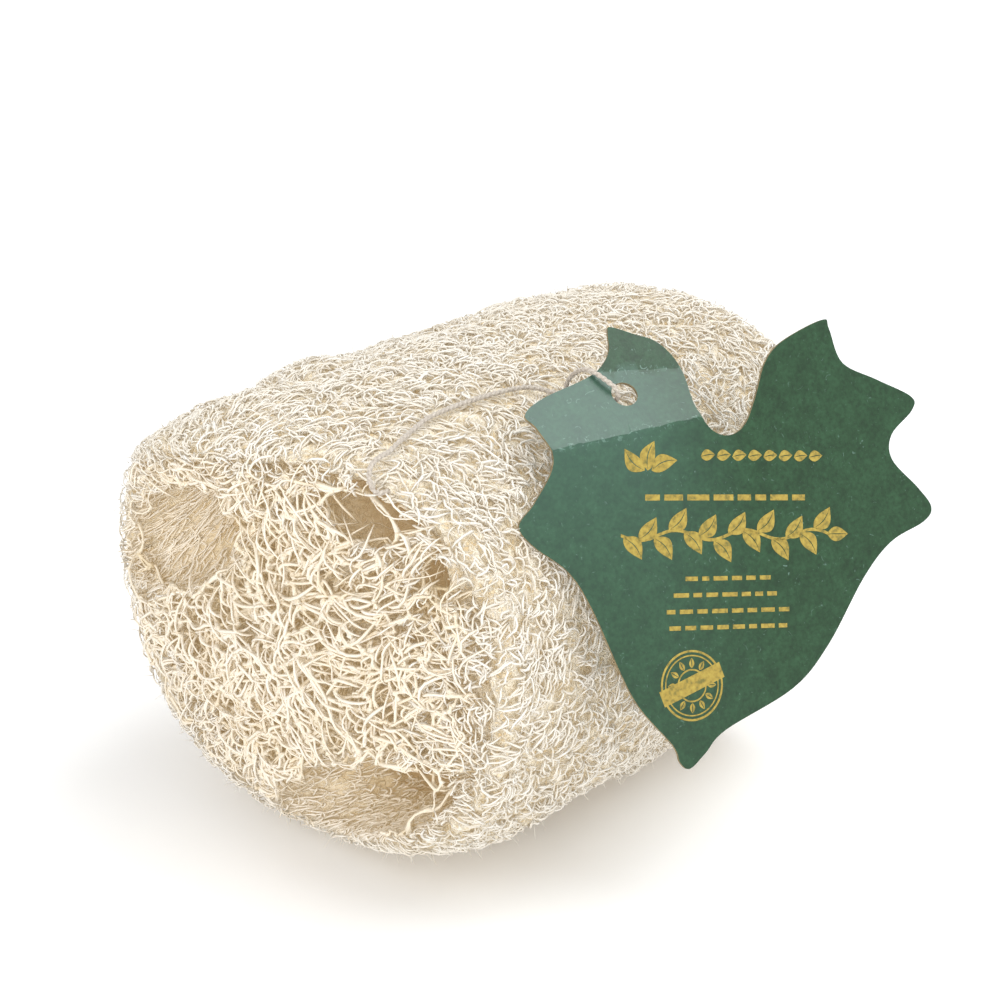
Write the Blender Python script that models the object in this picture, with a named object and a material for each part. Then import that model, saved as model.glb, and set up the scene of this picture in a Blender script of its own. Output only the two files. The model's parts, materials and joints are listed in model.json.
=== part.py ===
"""A natural loofah sponge: a cut length of the dried fruit's fibre skeleton, lying on its side,
with a leaf-shaped card tag on a thin string.

Metres, +Z up. X runs along the fruit and the front cut faces -X. The sponge lies on z = 0, and
the origin is the middle of the flat spot that it lies on."""

import math

import bmesh
import bpy
import numpy as np
from mathutils import Matrix, Vector

NAME = "loofah_sponge"
GAP = 0.0003

# The fruit
RADIUS = 0.052
HALF_LENGTH = 0.054
AXIS_HEIGHT = 0.0492
FLATTENING = 0.0027
THREE_LOBES = 0.0012
NEAR_SIDE_HOLLOW = 0.005
EDGE_ROUND = 0.0035
CORE_BULGE = 0.004
BACK_SLANT = 0.0055

# The raised net: one cell for each point of a spiral that winds over the fruit
FACE_CELLS = 140
SIDE_CELLS = 620
CELL_JITTER = 0.22
SIDE_CELL_DEPTH = 0.0026
FACE_CELL_DEPTH = 0.0034
GOLDEN_ANGLE = math.pi * (3 - math.sqrt(5))

# The flat spot that the sponge lies on
REST_LENGTH = 0.044
REST_WIDTH = 0.018

# The seed chambers: angle round the axis, distance from it, half width round and half depth
CHAMBERS = {
    "far": (math.radians(50), 0.0355, 0.0175, 0.0080),
    "near": (math.radians(131), 0.0370, 0.0170, 0.0078),
    "low": (math.radians(229), 0.0345, 0.0200, 0.0082),
}
MOUTH_DEPTH = 0.006
MOUTH_WIDTH = 0.003
MOUTH_LENGTH = 0.014

# Coarse strands that stand on the cut faces
STRANDS_PER_FACE = 24
STRAND_RADIUS = 0.0008
STRAND_RISE = 0.0018
STRAND_ROOT = 0.0030
STRAND_POINTS = 6

# The card tag, in its own plane with the punched hole as origin
CARD_THICKNESS = 0.0006
HOLE_RADIUS = 0.0025
LEAF_OUTLINE_MM = [
    (1.4, 13.6), (5.5, 11.6), (10.0, 9.0), (12.9, 3.5), (12.6, -5.0), (14.5, -9.6),
    (18.1, -11.3), (21.8, -9.7), (25.0, -4.7), (28.0, 1.0), (32.5, 4.5), (42.0, 7.4),
    (43.2, 5.5), (45.0, -1.2), (52.2, -5.4), (59.6, -9.7), (59.3, -12.4), (53.7, -16.4),
    (53.0, -21.1), (57.9, -27.3), (60.3, -31.5), (58.0, -34.0), (49.9, -36.6),
    (42.6, -42.3), (32.7, -53.4), (23.7, -60.0), (8.1, -64.7), (3.1, -68.0),
    (-0.6, -70.1), (-2.4, -68.6), (-3.4, -65.1), (-9.8, -55.2), (-14.9, -38.3),
    (-18.4, -30.7), (-24.3, -25.0), (-26.4, -21.0), (-22.5, -17.3), (-17.8, -11.0),
    (-18.9, -4.0), (-20.2, -0.8), (-15.7, 2.0), (-5.0, 5.0), (-0.5, 8.5), (0.6, 12.6),
]  # fmt: skip
LOWER_CREASE_MM = ((-17.4, -8.7), (12.2, -7.2))
LOWER_FOLD = math.radians(-28)
UPPER_CREASE_MM = ((-3.1, 5.5), (13.1, 3.5))
UPPER_FOLD = math.radians(15)
VALLEY_X = 0.0165
TAG_TURN = math.radians(-22)
TAG_LEAN = math.radians(22)
TAG_PLACE = (-0.0088, -0.0450, 0.0993)

# The string: out of a pocket in the front cut, back over the wall, up through the tag's hole from
# behind, over the tag's edge and down to the knot that grips it
STRING_RADIUS = 0.0005
STRING_SPACING = 0.0014
POCKET_RADIUS = 0.00095
POCKET_END = -0.0480
STRING_ROUTE_MM = [
    (-48.6, -27.5, 87.6), (-51.6, -27.5, 87.6), (-54.6, -27.5, 87.6), (-56.4, -27.4, 88.0),
    (-57.3, -27.0, 89.6), (-57.0, -26.3, 91.4), (-55.6, -25.8, 92.8), (-53.4, -25.4, 93.3),
    (-51.0, -25.0, 93.4), (-47.2, -24.0, 94.2), (-42.4, -22.7, 94.9), (-37.4, -21.7, 95.6),
    (-29.1, -21.4, 95.9), (-19.1, -21.8, 95.8), (-13.4, -22.6, 95.5), (-10.7, -24.0, 94.9),
    (-9.5, -25.8, 94.4), (-8.9, -28.0, 94.4), (-8.3, -31.0, 94.6), (-7.9, -34.4, 94.6),
    (-8.0, -38.0, 94.8), (-8.2, -40.6, 95.8), (-8.7, -41.7, 97.1), (-9.4, -41.5, 98.7),
    (-10.0, -39.9, 99.9), (-10.5, -37.9, 100.9), (-10.7, -36.0, 101.3), (-10.6, -34.4, 100.9),
    (-10.2, -32.7, 99.9), (-10.0, -31.2, 98.6), (-9.9, -30.2, 97.0), (-9.9, -29.9, 95.3),
]  # fmt: skip

# The knot: the string's own end, wound round its standing part and left with a short tail
KNOT_MIDDLE = (-0.0083, -0.0310, 0.0946)
KNOT_ALONG = (0.14, -0.99, 0.03)
KNOT_RADIUS = 0.00135
KNOT_PITCH = 0.0012
KNOT_TURNS = 2.4
KNOT_TAIL = 0.004


def wall_radius(angle, along):
    """Radius of the fruit at an angle round its axis, with along from -1 at the front to 1."""
    lobes = FLATTENING * np.cos(2 * angle) + THREE_LOBES * np.cos(3 * angle - math.radians(36))
    near = (np.degrees(angle) % 360 - 165) / 32
    pinch = 0.0023 + 0.0043 * np.cos(2 * angle - math.radians(150))
    return (
        RADIUS
        - 0.0006 * along
        + lobes
        - NEAR_SIDE_HOLLOW * np.exp(-(near**2))
        - pinch * np.exp(-(along + 1) / 0.22)
    )


def front_edge(angle):
    """X of the uneven front cut at the wall."""
    return (
        -HALF_LENGTH
        - 0.006 * np.sin(angle + math.radians(20))
        + 0.004 * np.cos(2 * angle + math.radians(23))
        + 0.003 * np.cos(3 * angle - math.radians(56))
    )


def back_edge(angle):
    """X of the slanting back cut at the wall."""
    slant = BACK_SLANT * np.sin(angle - math.radians(25))
    return HALF_LENGTH + slant + 0.0015 * np.cos(2 * angle) + 0.001 * np.sin(3 * angle)


def side_point(angle, along):
    """A point of the outer wall."""
    front = front_edge(angle) + EDGE_ROUND
    back = back_edge(angle) - EDGE_ROUND
    x = front + (back - front) * (along + 1) / 2
    radius = wall_radius(angle, along)
    return np.stack([x, radius * np.cos(angle), AXIS_HEIGHT + radius * np.sin(angle)], -1)


def face_point(angle, share, end):
    """A point of the cut face at end -1 or 1, at a share of the way from the axis to the wall."""
    edge = front_edge(angle) if end < 0 else back_edge(angle)
    middle = end * HALF_LENGTH
    rounding = np.clip((share - 0.9) / 0.1, 0, 1)
    inwards = EDGE_ROUND * (1 - np.sqrt(1 - rounding**2))
    x = middle + (edge - middle) * share**2 + end * (CORE_BULGE * (1 - share**2) - inwards)
    radius = share * wall_radius(angle, end)
    return np.stack([x, radius * np.cos(angle), AXIS_HEIGHT + radius * np.sin(angle)], -1)


def material(name, colour, roughness):
    made = bpy.data.materials.new(name)
    made.use_nodes = True
    shader = made.node_tree.nodes["Principled BSDF"]
    shader.inputs["Base Color"].default_value = (*colour, 1)
    shader.inputs["Roughness"].default_value = roughness
    shader.inputs["Metallic"].default_value = 0
    return made


def add_object(name, mesh, collection):
    made = bpy.data.objects.new(name, mesh)
    collection.objects.link(made)
    return made


def mesh_from(name, bm):
    mesh = bpy.data.meshes.new(name)
    bm.to_mesh(mesh)
    bm.free()
    return mesh


def face_outwards(bm):
    bmesh.ops.recalc_face_normals(bm, faces=bm.faces[:])
    if bm.calc_volume(signed=True) < 0:
        bmesh.ops.reverse_faces(bm, faces=bm.faces[:])


def add_cutter(name, bm, collection):
    cutter = add_object(name, mesh_from(name, bm), collection)
    cutter.hide_render = True
    cutter.display_type = "WIRE"


def cell_places():
    """The middles of the net's cells: where they lie on the fruit, and the same on a sphere."""
    rng = np.random.default_rng(7)
    count = 2 * FACE_CELLS + SIDE_CELLS
    angle = np.arange(count) * GOLDEN_ANGLE
    order = np.arange(count) + 0.5
    on_front = order < FACE_CELLS
    on_back = order > FACE_CELLS + SIDE_CELLS
    nearest_end = np.where(on_front, order, count - order)
    pitch = RADIUS * math.sqrt(math.pi / FACE_CELLS)
    jitter = rng.uniform(-1, 1, (2, count)) * CELL_JITTER * pitch
    share = np.sqrt(np.clip(nearest_end / FACE_CELLS, 0, 1)) * 0.985
    share = np.clip(share + jitter[0] / RADIUS, 0.02, 0.99)
    angle = angle + jitter[1] / (RADIUS * np.where(on_front | on_back, share, 1))
    along = 2 * (order - FACE_CELLS) / SIDE_CELLS - 1
    along = np.clip(along + jitter[0] / HALF_LENGTH, -0.99, 0.99)
    places = np.where(on_front[:, None], face_point(angle, share, -1), side_point(angle, along))
    places = np.where(on_back[:, None], face_point(angle, share, 1), places)
    round_part = np.where(on_front | on_back, share, 1)
    end = np.where(on_front, -1, np.where(on_back, 1, along))
    sphere = np.stack([end, round_part * np.cos(angle), round_part * np.sin(angle)], -1)
    sphere /= np.linalg.norm(sphere, axis=1)[:, None]
    depth = np.where(on_front | on_back, FACE_CELL_DEPTH, SIDE_CELL_DEPTH)
    return places, sphere, depth * rng.uniform(0.7, 1.3, count)


def net_body():
    """The fruit's body, with a sunk cell round each point and the net's ridges between them."""
    places, sphere, depth = cell_places()
    bm = bmesh.new()
    number = bm.verts.layers.int.new("cell")
    for index, place in enumerate(sphere):
        bm.verts.new(place)[number] = index
    bmesh.ops.convex_hull(bm, input=bm.verts[:])
    for vert in bm.verts:
        vert.co = places[vert[number]]
    bmesh.ops.recalc_face_normals(bm, faces=bm.faces[:])
    bm.normal_update()
    normals = [(vert, vert.normal.copy()) for vert in bm.verts]
    spokes = bm.edges[:]
    bmesh.ops.poke(bm, faces=bm.faces[:])
    bmesh.ops.rotate_edges(bm, edges=spokes, use_ccw=False)
    for vert, normal in normals:
        vert.co -= normal * float(depth[vert[number]])
    for vert in bm.verts:
        beneath = vert.co.z < AXIS_HEIGHT / 4
        on_spot = abs(vert.co.x) < REST_LENGTH / 2 and abs(vert.co.y) < REST_WIDTH / 2
        if vert.co.z < 0 or beneath and on_spot:
            vert.co.z = 0
    return mesh_from("sponge", bm)


def chamber_section(name, x):
    """Middle, half width and half depth of a seed chamber where the fruit is cut at x."""
    angle, distance, half_width, half_depth = CHAMBERS[name]
    to_front = np.clip((x + HALF_LENGTH - MOUTH_LENGTH / 2) / MOUTH_LENGTH, -1, 0)
    to_back = np.clip((HALF_LENGTH - x - MOUTH_LENGTH / 2) / MOUTH_LENGTH, -1, 0) / 2
    opened = -(to_front + to_back)
    inwards = MOUTH_DEPTH * opened / 2
    return angle, distance - inwards, half_width + MOUTH_WIDTH * opened, half_depth + inwards


def chamber_cutter(name, collection):
    """A lens-shaped tube that runs out past both cuts and opens towards them."""
    bm = bmesh.new()
    bmesh.ops.create_uvsphere(bm, u_segments=16, v_segments=13, radius=1)
    for vert in bm.verts:
        row = math.acos(max(-1, min(1, vert.co.z))) / math.pi
        x = (row - 0.5) * 2 * (HALF_LENGTH + 0.02)
        angle, distance, half_width, half_depth = chamber_section(name, x)
        around = math.atan2(vert.co.y, vert.co.x)
        inside = 0 if row < 0.01 or row > 0.99 else 1
        ripple = 1 + 0.05 * math.sin(3 * around + 90 * x)
        radial = distance + inside * ripple * half_depth * math.cos(around)
        across = inside * ripple * half_width * math.sin(around)
        bend = angle + across / distance
        vert.co = (x, radial * math.cos(bend), AXIS_HEIGHT + radial * math.sin(bend))
    face_outwards(bm)
    add_cutter("chamber_" + name, bm, collection)


def string_pocket(collection):
    """The narrow hole in the front cut that the string comes out of."""
    mouth = Vector(STRING_ROUTE_MM[0]) / 1000
    length = 0.02
    bm = bmesh.new()
    turn = Matrix.Rotation(math.pi / 2, 4, "Y")
    place = Matrix.Translation((POCKET_END - length / 2, mouth.y, mouth.z))
    bmesh.ops.create_cone(
        bm,
        cap_ends=True,
        segments=12,
        radius1=POCKET_RADIUS,
        radius2=POCKET_RADIUS,
        depth=length,
        matrix=place @ turn,
    )
    add_cutter("string_pocket", bm, collection)


def clear_of_chambers(place, margin):
    """Whether a point keeps a margin from every seed chamber."""
    y, z = place[1], place[2] - AXIS_HEIGHT
    for name in CHAMBERS:
        angle, distance, half_width, half_depth = chamber_section(name, place[0])
        turned = math.remainder(math.atan2(z, y) - angle, 2 * math.pi) * distance
        radial = math.hypot(y, z) - distance
        if math.hypot(turned / (half_width + margin), radial / (half_depth + margin)) < 1:
            return False
    return True


def strand_routes():
    """Arcs over the cut faces that keep off the seed chambers."""
    rng = np.random.default_rng(3)
    routes = []
    for end in (-1, 1):
        kept = 0
        while kept < STRANDS_PER_FACE:
            share = 0.86 * math.sqrt(rng.uniform())
            start = face_point(rng.uniform(0, 2 * math.pi), share, end)
            heading = rng.uniform(0, 2 * math.pi)
            length = rng.uniform(0.012, 0.026)
            bend = rng.uniform(-1.2, 1.2)
            route = []
            for step in np.linspace(0, 1, STRAND_POINTS):
                turn = heading + bend * (step - 0.5)
                y = start[1] + length * step * math.cos(turn)
                z = start[2] - AXIS_HEIGHT + length * step * math.sin(turn)
                angle = math.atan2(z, y)
                share = math.hypot(y, z) / wall_radius(angle, end)
                if share > 0.92:
                    break
                place = face_point(angle, share, end)
                place[0] += end * (STRAND_RISE - (STRAND_RISE + STRAND_ROOT) * (2 * step - 1) ** 4)
                route.append(place)
            whole = len(route) == STRAND_POINTS
            if whole and all(clear_of_chambers(place, 0.002) for place in route):
                routes.append(route)
                kept += 1
    return routes


def smooth_route(points, spacing):
    """Points at an even spacing along a Catmull-Rom curve through a route's own points."""
    points = np.asarray(points)
    ends = np.concatenate([2 * points[:1] - points[1:2], points, 2 * points[-1:] - points[-2:-1]])
    before, here, after, beyond = ends[:-3, None], ends[1:-2, None], ends[2:-1, None], ends[3:, None]
    t = np.linspace(0, 1, 24, endpoint=False)[None, :, None]
    curve = here + t / 2 * (
        after - before
        + t * (2 * before - 5 * here + 4 * after - beyond)
        + t**2 * (3 * (here - after) + beyond - before)
    )
    curve = np.concatenate([curve.reshape(-1, 3), points[-1:]])
    travelled = np.concatenate([[0], np.cumsum(np.linalg.norm(np.diff(curve, axis=0), axis=1))])
    count = round(travelled[-1] / spacing) + 1
    marks = np.linspace(0, travelled[-1], count)
    return np.stack([np.interp(marks, travelled, curve[:, i]) for i in range(3)], -1)


def mesh_from_curve(name, data):
    """The solid of a curve as a mesh, with its caps joined on; the curve is removed."""
    curve = add_object(name + "_curve", data, bpy.context.scene.collection)
    bpy.context.view_layer.update()
    graph = bpy.context.evaluated_depsgraph_get()
    mesh = bpy.data.meshes.new_from_object(curve.evaluated_get(graph))
    mesh.name = name
    bpy.data.objects.remove(curve)
    bpy.data.curves.remove(data)
    bm = bmesh.new()
    bm.from_mesh(mesh)
    bmesh.ops.remove_doubles(bm, verts=bm.verts[:], dist=1e-6)
    face_outwards(bm)
    bm.to_mesh(mesh)
    bm.free()
    return mesh


def tube_mesh(name, points, radius, roundness):
    """A closed tube along points; roundness 0 gives it four sides and 2 gives eight."""
    data = bpy.data.curves.new(name, "CURVE")
    data.dimensions = "3D"
    data.bevel_depth = radius
    data.bevel_resolution = roundness
    data.use_fill_caps = True
    spline = data.splines.new("POLY")
    spline.points.add(len(points) - 1)
    for point, place in zip(spline.points, points):
        point.co = (*place, 1)
    return mesh_from_curve(name, data)


def apply_boolean(target, collection, operation, solver):
    """Cuts or joins a whole collection in one step, and removes its objects."""
    boolean = target.modifiers.new(operation.lower(), "BOOLEAN")
    boolean.operation = operation
    boolean.operand_type = "COLLECTION"
    boolean.collection = collection
    boolean.solver = solver
    bpy.context.view_layer.update()
    graph = bpy.context.evaluated_depsgraph_get()
    old = target.data
    target.data = bpy.data.meshes.new_from_object(target.evaluated_get(graph))
    target.modifiers.remove(boolean)
    bpy.data.meshes.remove(old)
    for piece in collection.objects[:]:
        bpy.data.objects.remove(piece)
    bpy.data.collections.remove(collection)


def add_collection(name):
    made = bpy.data.collections.new(name)
    bpy.context.scene.collection.children.link(made)
    return made


def sponge(parts):
    made = add_object("sponge", net_body(), parts)
    hollows = add_collection("hollows")
    for name in CHAMBERS:
        chamber_cutter(name, hollows)
    string_pocket(hollows)
    apply_boolean(made, hollows, "DIFFERENCE", "EXACT")
    strands = add_collection("strands")
    for index, route in enumerate(strand_routes()):
        name = f"strand_{index:02d}"
        add_object(name, tube_mesh(name, route, STRAND_RADIUS, 0), strands)
    apply_boolean(made, strands, "UNION", "MANIFOLD")
    made.data.materials.append(material("loofah_fibre", (0.74, 0.64, 0.46), 0.85))


def leaf_card():
    """The tag as one flat card, with its leaf outline and its punched hole."""
    data = bpy.data.curves.new("tag", "CURVE")
    data.dimensions = "2D"
    data.fill_mode = "BOTH"
    data.extrude = CARD_THICKNESS / 2
    data.resolution_u = 3
    outline = data.splines.new("BEZIER")
    outline.use_cyclic_u = True
    outline.bezier_points.add(len(LEAF_OUTLINE_MM) - 1)
    for point, place in zip(outline.bezier_points, LEAF_OUTLINE_MM):
        point.co = (place[0] / 1000, place[1] / 1000, 0)
        point.handle_left_type = "AUTO"
        point.handle_right_type = "AUTO"
    hole = data.splines.new("BEZIER")
    hole.use_cyclic_u = True
    hole.bezier_points.add(7)
    for index, point in enumerate(hole.bezier_points):
        angle = index * math.pi / 4
        point.co = (HOLE_RADIUS * math.cos(angle), HOLE_RADIUS * math.sin(angle), 0)
        point.handle_left_type = "AUTO"
        point.handle_right_type = "AUTO"
    return mesh_from_curve("tag", data)


def fold(bm, crease, angle):
    """Turns what lies above a crease, left of the valley between the lobes."""
    first = Vector((*crease[0], 0)) / 1000
    second = Vector((*crease[1], 0)) / 1000
    along = (second - first).normalized()
    upwards = Vector((-along.y, along.x, 0))
    left = [face for face in bm.faces if face.calc_center_median().x < VALLEY_X]
    around = {item for face in left for item in (*face.verts, *face.edges)}
    bmesh.ops.bisect_plane(
        bm, geom=[*left, *around], plane_co=first, plane_no=upwards, dist=1e-7
    )
    turn = Matrix.Rotation(angle, 4, along)
    spin = Matrix.Translation(first) @ turn @ Matrix.Translation(-first)
    above = [v for v in bm.verts if v.co.x < VALLEY_X and (v.co - first).dot(upwards) > 1e-6]
    bmesh.ops.transform(bm, matrix=spin, verts=above)


def tag(parts):
    made = add_object("tag", leaf_card(), parts)
    bm = bmesh.new()
    bm.from_mesh(made.data)
    everything = [*bm.verts, *bm.edges, *bm.faces]
    bmesh.ops.bisect_plane(
        bm, geom=everything, plane_co=(VALLEY_X, 0, 0), plane_no=(1, 0, 0), dist=1e-7
    )
    fold(bm, UPPER_CREASE_MM, UPPER_FOLD)
    fold(bm, LOWER_CREASE_MM, LOWER_FOLD)
    lean = Matrix.Rotation(math.pi / 2 - TAG_LEAN, 4, "X")
    bm.transform(Matrix.Translation(TAG_PLACE) @ Matrix.Rotation(TAG_TURN, 4, "Z") @ lean)
    bm.to_mesh(made.data)
    bm.free()
    made.data.materials.append(material("card", (0.07, 0.13, 0.09), 0.75))


def string(parts):
    route = smooth_route(np.array(STRING_ROUTE_MM) / 1000, STRING_SPACING)
    made = add_object("string", tube_mesh("string", route, STRING_RADIUS, 2), parts)
    made.data.materials.append(material("twine", (0.52, 0.45, 0.36), 0.9))


def knot(parts):
    along = Vector(KNOT_ALONG).normalized()
    outwards = Vector((-1, 0, 0)) + along * along.x
    outwards.normalize()
    downwards = along.cross(outwards)
    turns = np.linspace(0, 1, round(KNOT_TURNS * 14)) * KNOT_TURNS
    route = []
    for turn in turns:
        angle = turn * 2 * math.pi
        ring = outwards * math.cos(angle) + downwards * math.sin(angle)
        shift = along * (turn - KNOT_TURNS / 2) * KNOT_PITCH
        route.append(Vector(KNOT_MIDDLE) + ring * KNOT_RADIUS + shift)
    heading = (route[-1] - route[-2]).normalized()
    route.extend(route[-1] + heading * KNOT_TAIL * step for step in (0.3, 0.65, 1))
    made = add_object("knot", tube_mesh("knot", route, STRING_RADIUS, 2), parts)
    made.data.materials.append(material("twine_knot", (0.52, 0.45, 0.36), 0.9))


def main():
    for thing in bpy.data.objects[:]:
        bpy.data.objects.remove(thing)
    parts = add_collection(NAME)
    sponge(parts)
    tag(parts)
    string(parts)
    knot(parts)


main()
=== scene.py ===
"""Natural loofah sponge with a leaf-shaped card tag on twine: the finished surfaces and the picture.

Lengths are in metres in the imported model's frame: +Z up, X along the fruit, the front cut facing
-X, and the sponge lying on z = 0."""

import json
import math

import bpy
import numpy as np
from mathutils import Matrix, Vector
from mathutils.geometry import delaunay_2d_cdt

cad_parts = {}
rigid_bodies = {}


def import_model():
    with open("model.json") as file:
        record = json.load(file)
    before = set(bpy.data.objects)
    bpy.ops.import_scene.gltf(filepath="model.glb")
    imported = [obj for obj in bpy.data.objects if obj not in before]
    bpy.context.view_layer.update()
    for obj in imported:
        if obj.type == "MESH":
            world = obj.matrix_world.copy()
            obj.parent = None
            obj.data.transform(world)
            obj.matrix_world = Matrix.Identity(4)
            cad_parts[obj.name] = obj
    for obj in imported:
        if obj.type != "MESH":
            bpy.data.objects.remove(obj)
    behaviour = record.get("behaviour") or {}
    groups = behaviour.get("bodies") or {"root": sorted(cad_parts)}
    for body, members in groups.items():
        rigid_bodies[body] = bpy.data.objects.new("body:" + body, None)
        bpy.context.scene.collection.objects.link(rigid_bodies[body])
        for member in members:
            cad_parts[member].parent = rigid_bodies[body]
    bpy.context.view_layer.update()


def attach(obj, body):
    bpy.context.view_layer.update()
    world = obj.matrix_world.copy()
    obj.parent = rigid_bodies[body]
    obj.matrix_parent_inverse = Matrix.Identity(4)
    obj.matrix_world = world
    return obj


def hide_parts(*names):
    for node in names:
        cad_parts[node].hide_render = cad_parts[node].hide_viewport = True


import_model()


# Camera: a long lens a forearm away, a little above the sponge and off its front corner.
LENS_MM = 69.84
SENSOR_MM = 36
CAMERA_SIDE = math.radians(-47)
CAMERA_RISE = math.radians(23.5)
CAMERA_AIM = math.radians(21.85)
CAMERA_DISTANCE = 0.40215
LOOKED_AT = Vector((0, -0.0040, 0.0512))


def towards_camera(side, rise):
    """Unit vector from the object to a camera at an angle round it and an angle above it."""
    level = math.cos(rise)
    return Vector((math.sin(side) * level, -math.cos(side) * level, math.sin(rise)))


camera = bpy.data.objects.new("camera", bpy.data.cameras.new("camera"))
camera.data.lens = LENS_MM
camera.data.sensor_width = SENSOR_MM
camera.data.clip_start = 0.01
camera.location = LOOKED_AT + towards_camera(CAMERA_SIDE, CAMERA_RISE) * CAMERA_DISTANCE
camera.rotation_mode = "QUATERNION"
camera.rotation_quaternion = (-towards_camera(CAMERA_SIDE, CAMERA_AIM)).to_track_quat("-Z", "Y")
bpy.context.scene.collection.objects.link(camera)
bpy.context.scene.camera = camera


# String: two-ply hemp twine about 1 mm thick. It comes out of the wall at the front cut, lies
# over the top, goes up through the tag's hole from behind, and back over the tag's edge.
STRING_ROUTE_MM = [
    (-48.6, -27.5, 87.6), (-51.6, -27.5, 87.6), (-54.6, -27.5, 87.6), (-56.4, -27.4, 88.0),
    (-57.3, -27.0, 89.6), (-57.0, -26.3, 91.4), (-55.6, -25.8, 92.8), (-53.4, -25.4, 93.3),
    (-51.0, -25.0, 93.4), (-47.2, -24.0, 94.2), (-42.4, -22.7, 94.9), (-37.4, -21.7, 95.6),
    (-29.1, -21.4, 95.9), (-19.1, -21.8, 95.8), (-13.4, -22.6, 95.5), (-10.7, -24.0, 94.9),
    (-9.5, -25.8, 94.4), (-8.9, -28.0, 94.4), (-8.3, -31.0, 94.6), (-7.9, -34.4, 94.6),
    (-8.0, -38.0, 94.8), (-8.2, -40.6, 95.8), (-8.7, -41.7, 97.1), (-9.4, -41.5, 98.7),
    (-10.0, -39.9, 99.9), (-10.5, -37.9, 100.9), (-10.7, -36.0, 101.3), (-10.6, -34.4, 100.9),
    (-10.2, -32.7, 99.9), (-10.0, -31.2, 98.6), (-9.9, -30.2, 97.0), (-9.9, -29.9, 95.3),
]  # fmt: skip
TWINE_DIAMETER = 0.0010
TWINE_RING_SPACING = 0.00022
TWINE_TWIST_LENGTH = 0.0024


def spline(before, here, after, beyond, t):
    """Catmull-Rom curve: the cubic from here to after whose slope at each of the two is half the
    step between its neighbours."""
    return here + t / 2 * (
        after - before
        + t * (2 * before - 5 * here + 4 * after - beyond)
        + t**2 * (3 * (here - after) + beyond - before)
    )


def lengths_along(path):
    """Length along a path up to each of its points."""
    return np.concatenate([[0], np.cumsum(np.linalg.norm(np.diff(path, axis=0), axis=1))])


def even_path(points, spacing, steps=24):
    """Spline through the points, with a number of steps between them, cut at even lengths."""
    ends = np.concatenate([2 * points[:1] - points[1:2], points, 2 * points[-1:] - points[-2:-1]])
    t = (np.arange(steps) / steps)[None, :, None]
    curve = spline(ends[:-3, None], ends[1:-2, None], ends[2:-1, None], ends[3:, None], t)
    curve = np.concatenate([curve.reshape(-1, 3), points[-1:]])
    travelled = lengths_along(curve)
    marks = np.linspace(0, travelled[-1], round(travelled[-1] / spacing) + 1)
    return np.stack([np.interp(marks, travelled, curve[:, i]) for i in range(3)], -1)


def unit(vectors):
    """Vectors divided by their lengths."""
    return vectors / np.maximum(np.linalg.norm(vectors, axis=-1, keepdims=True), 1e-12)


def carried_frames(path):
    """Side and top directions along a path that turn with it and don't twist: the top direction
    starts upright and is projected square to the path again at each ring."""
    forward = unit(np.gradient(path, axis=0))
    tops = np.empty_like(path)
    top = np.array([0.0, 0.0, 1.0]) if abs(forward[0, 2]) < 0.9 else np.array([1.0, 0.0, 0.0])
    for index, direction in enumerate(forward):
        top = unit(top - direction * (top @ direction))
        tops[index] = top
    return np.cross(forward, tops), tops


def grid_faces(rows, columns):
    """Quads of a rows by columns grid of vertices, joined round the columns."""
    row, column = np.meshgrid(np.arange(rows - 1), np.arange(columns), indexing="ij")
    beside = (column + 1) % columns
    quads = np.stack(
        [row * columns + column, row * columns + beside,
         (row + 1) * columns + beside, (row + 1) * columns + column], -1
    )
    return quads.reshape(-1, 4)


def add_mesh(name, points, faces, smooth=True, **attributes):
    """A mesh object from arrays: faces is an array of quads or triangles, or a list of such
    arrays, and each attribute is one number for each point."""
    faces = faces if isinstance(faces, list) else [faces]
    mesh = bpy.data.meshes.new(name)
    mesh.vertices.add(len(points))
    mesh.vertices.foreach_set("co", np.ascontiguousarray(points, np.float32).ravel())
    corners = np.concatenate([f.ravel() for f in faces]).astype(np.int32)
    sides = np.concatenate([np.full(len(f), f.shape[1], np.int32) for f in faces])
    mesh.loops.add(len(corners))
    mesh.loops.foreach_set("vertex_index", corners)
    mesh.polygons.add(len(sides))
    starts = np.concatenate([[0], np.cumsum(sides)[:-1]]).astype(np.int32)
    mesh.polygons.foreach_set("loop_start", starts)
    mesh.polygons.foreach_set("use_smooth", np.full(len(sides), smooth))
    mesh.update(calc_edges=True)
    mesh.validate()
    for key, values in attributes.items():
        layer = mesh.attributes.new(key, "FLOAT", "POINT")
        layer.data.foreach_set("value", np.ascontiguousarray(values, np.float32).ravel())
    made = bpy.data.objects.new(name, mesh)
    bpy.context.scene.collection.objects.link(made)
    return made


def twisted_tube(path, radius, twist_length, plies=2, sides=14, groove=0.30):
    """Points and faces of twine, and its profile: at each ring the radius is the twine's, less a
    groove between the plies that turns once every twist_length; the ends close to a point."""
    side, top = carried_frames(path)
    around = np.arange(sides) * 2 * math.pi / sides
    turn = 2 * math.pi * lengths_along(path)[:, None] / twist_length
    profile = 1 - groove * np.abs(np.sin((around[None] - turn) * plies / 2)) ** 3
    taper = np.ones(len(path))
    taper[[0, -1]] = 0.05
    reach = radius * profile * taper[:, None]
    points = (
        path[:, None]
        + side[:, None] * (reach * np.cos(around))[..., None]
        + top[:, None] * (reach * np.sin(around))[..., None]
    )
    last = (len(path) - 1) * sides
    rim = np.arange(1, sides - 1)
    start = np.stack([0 * rim, rim + 1, rim], -1)
    finish = np.stack([0 * rim + last, rim + last, rim + 1 + last], -1)
    return points.reshape(-1, 3), [grid_faces(len(path), sides), start, finish], profile


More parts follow.
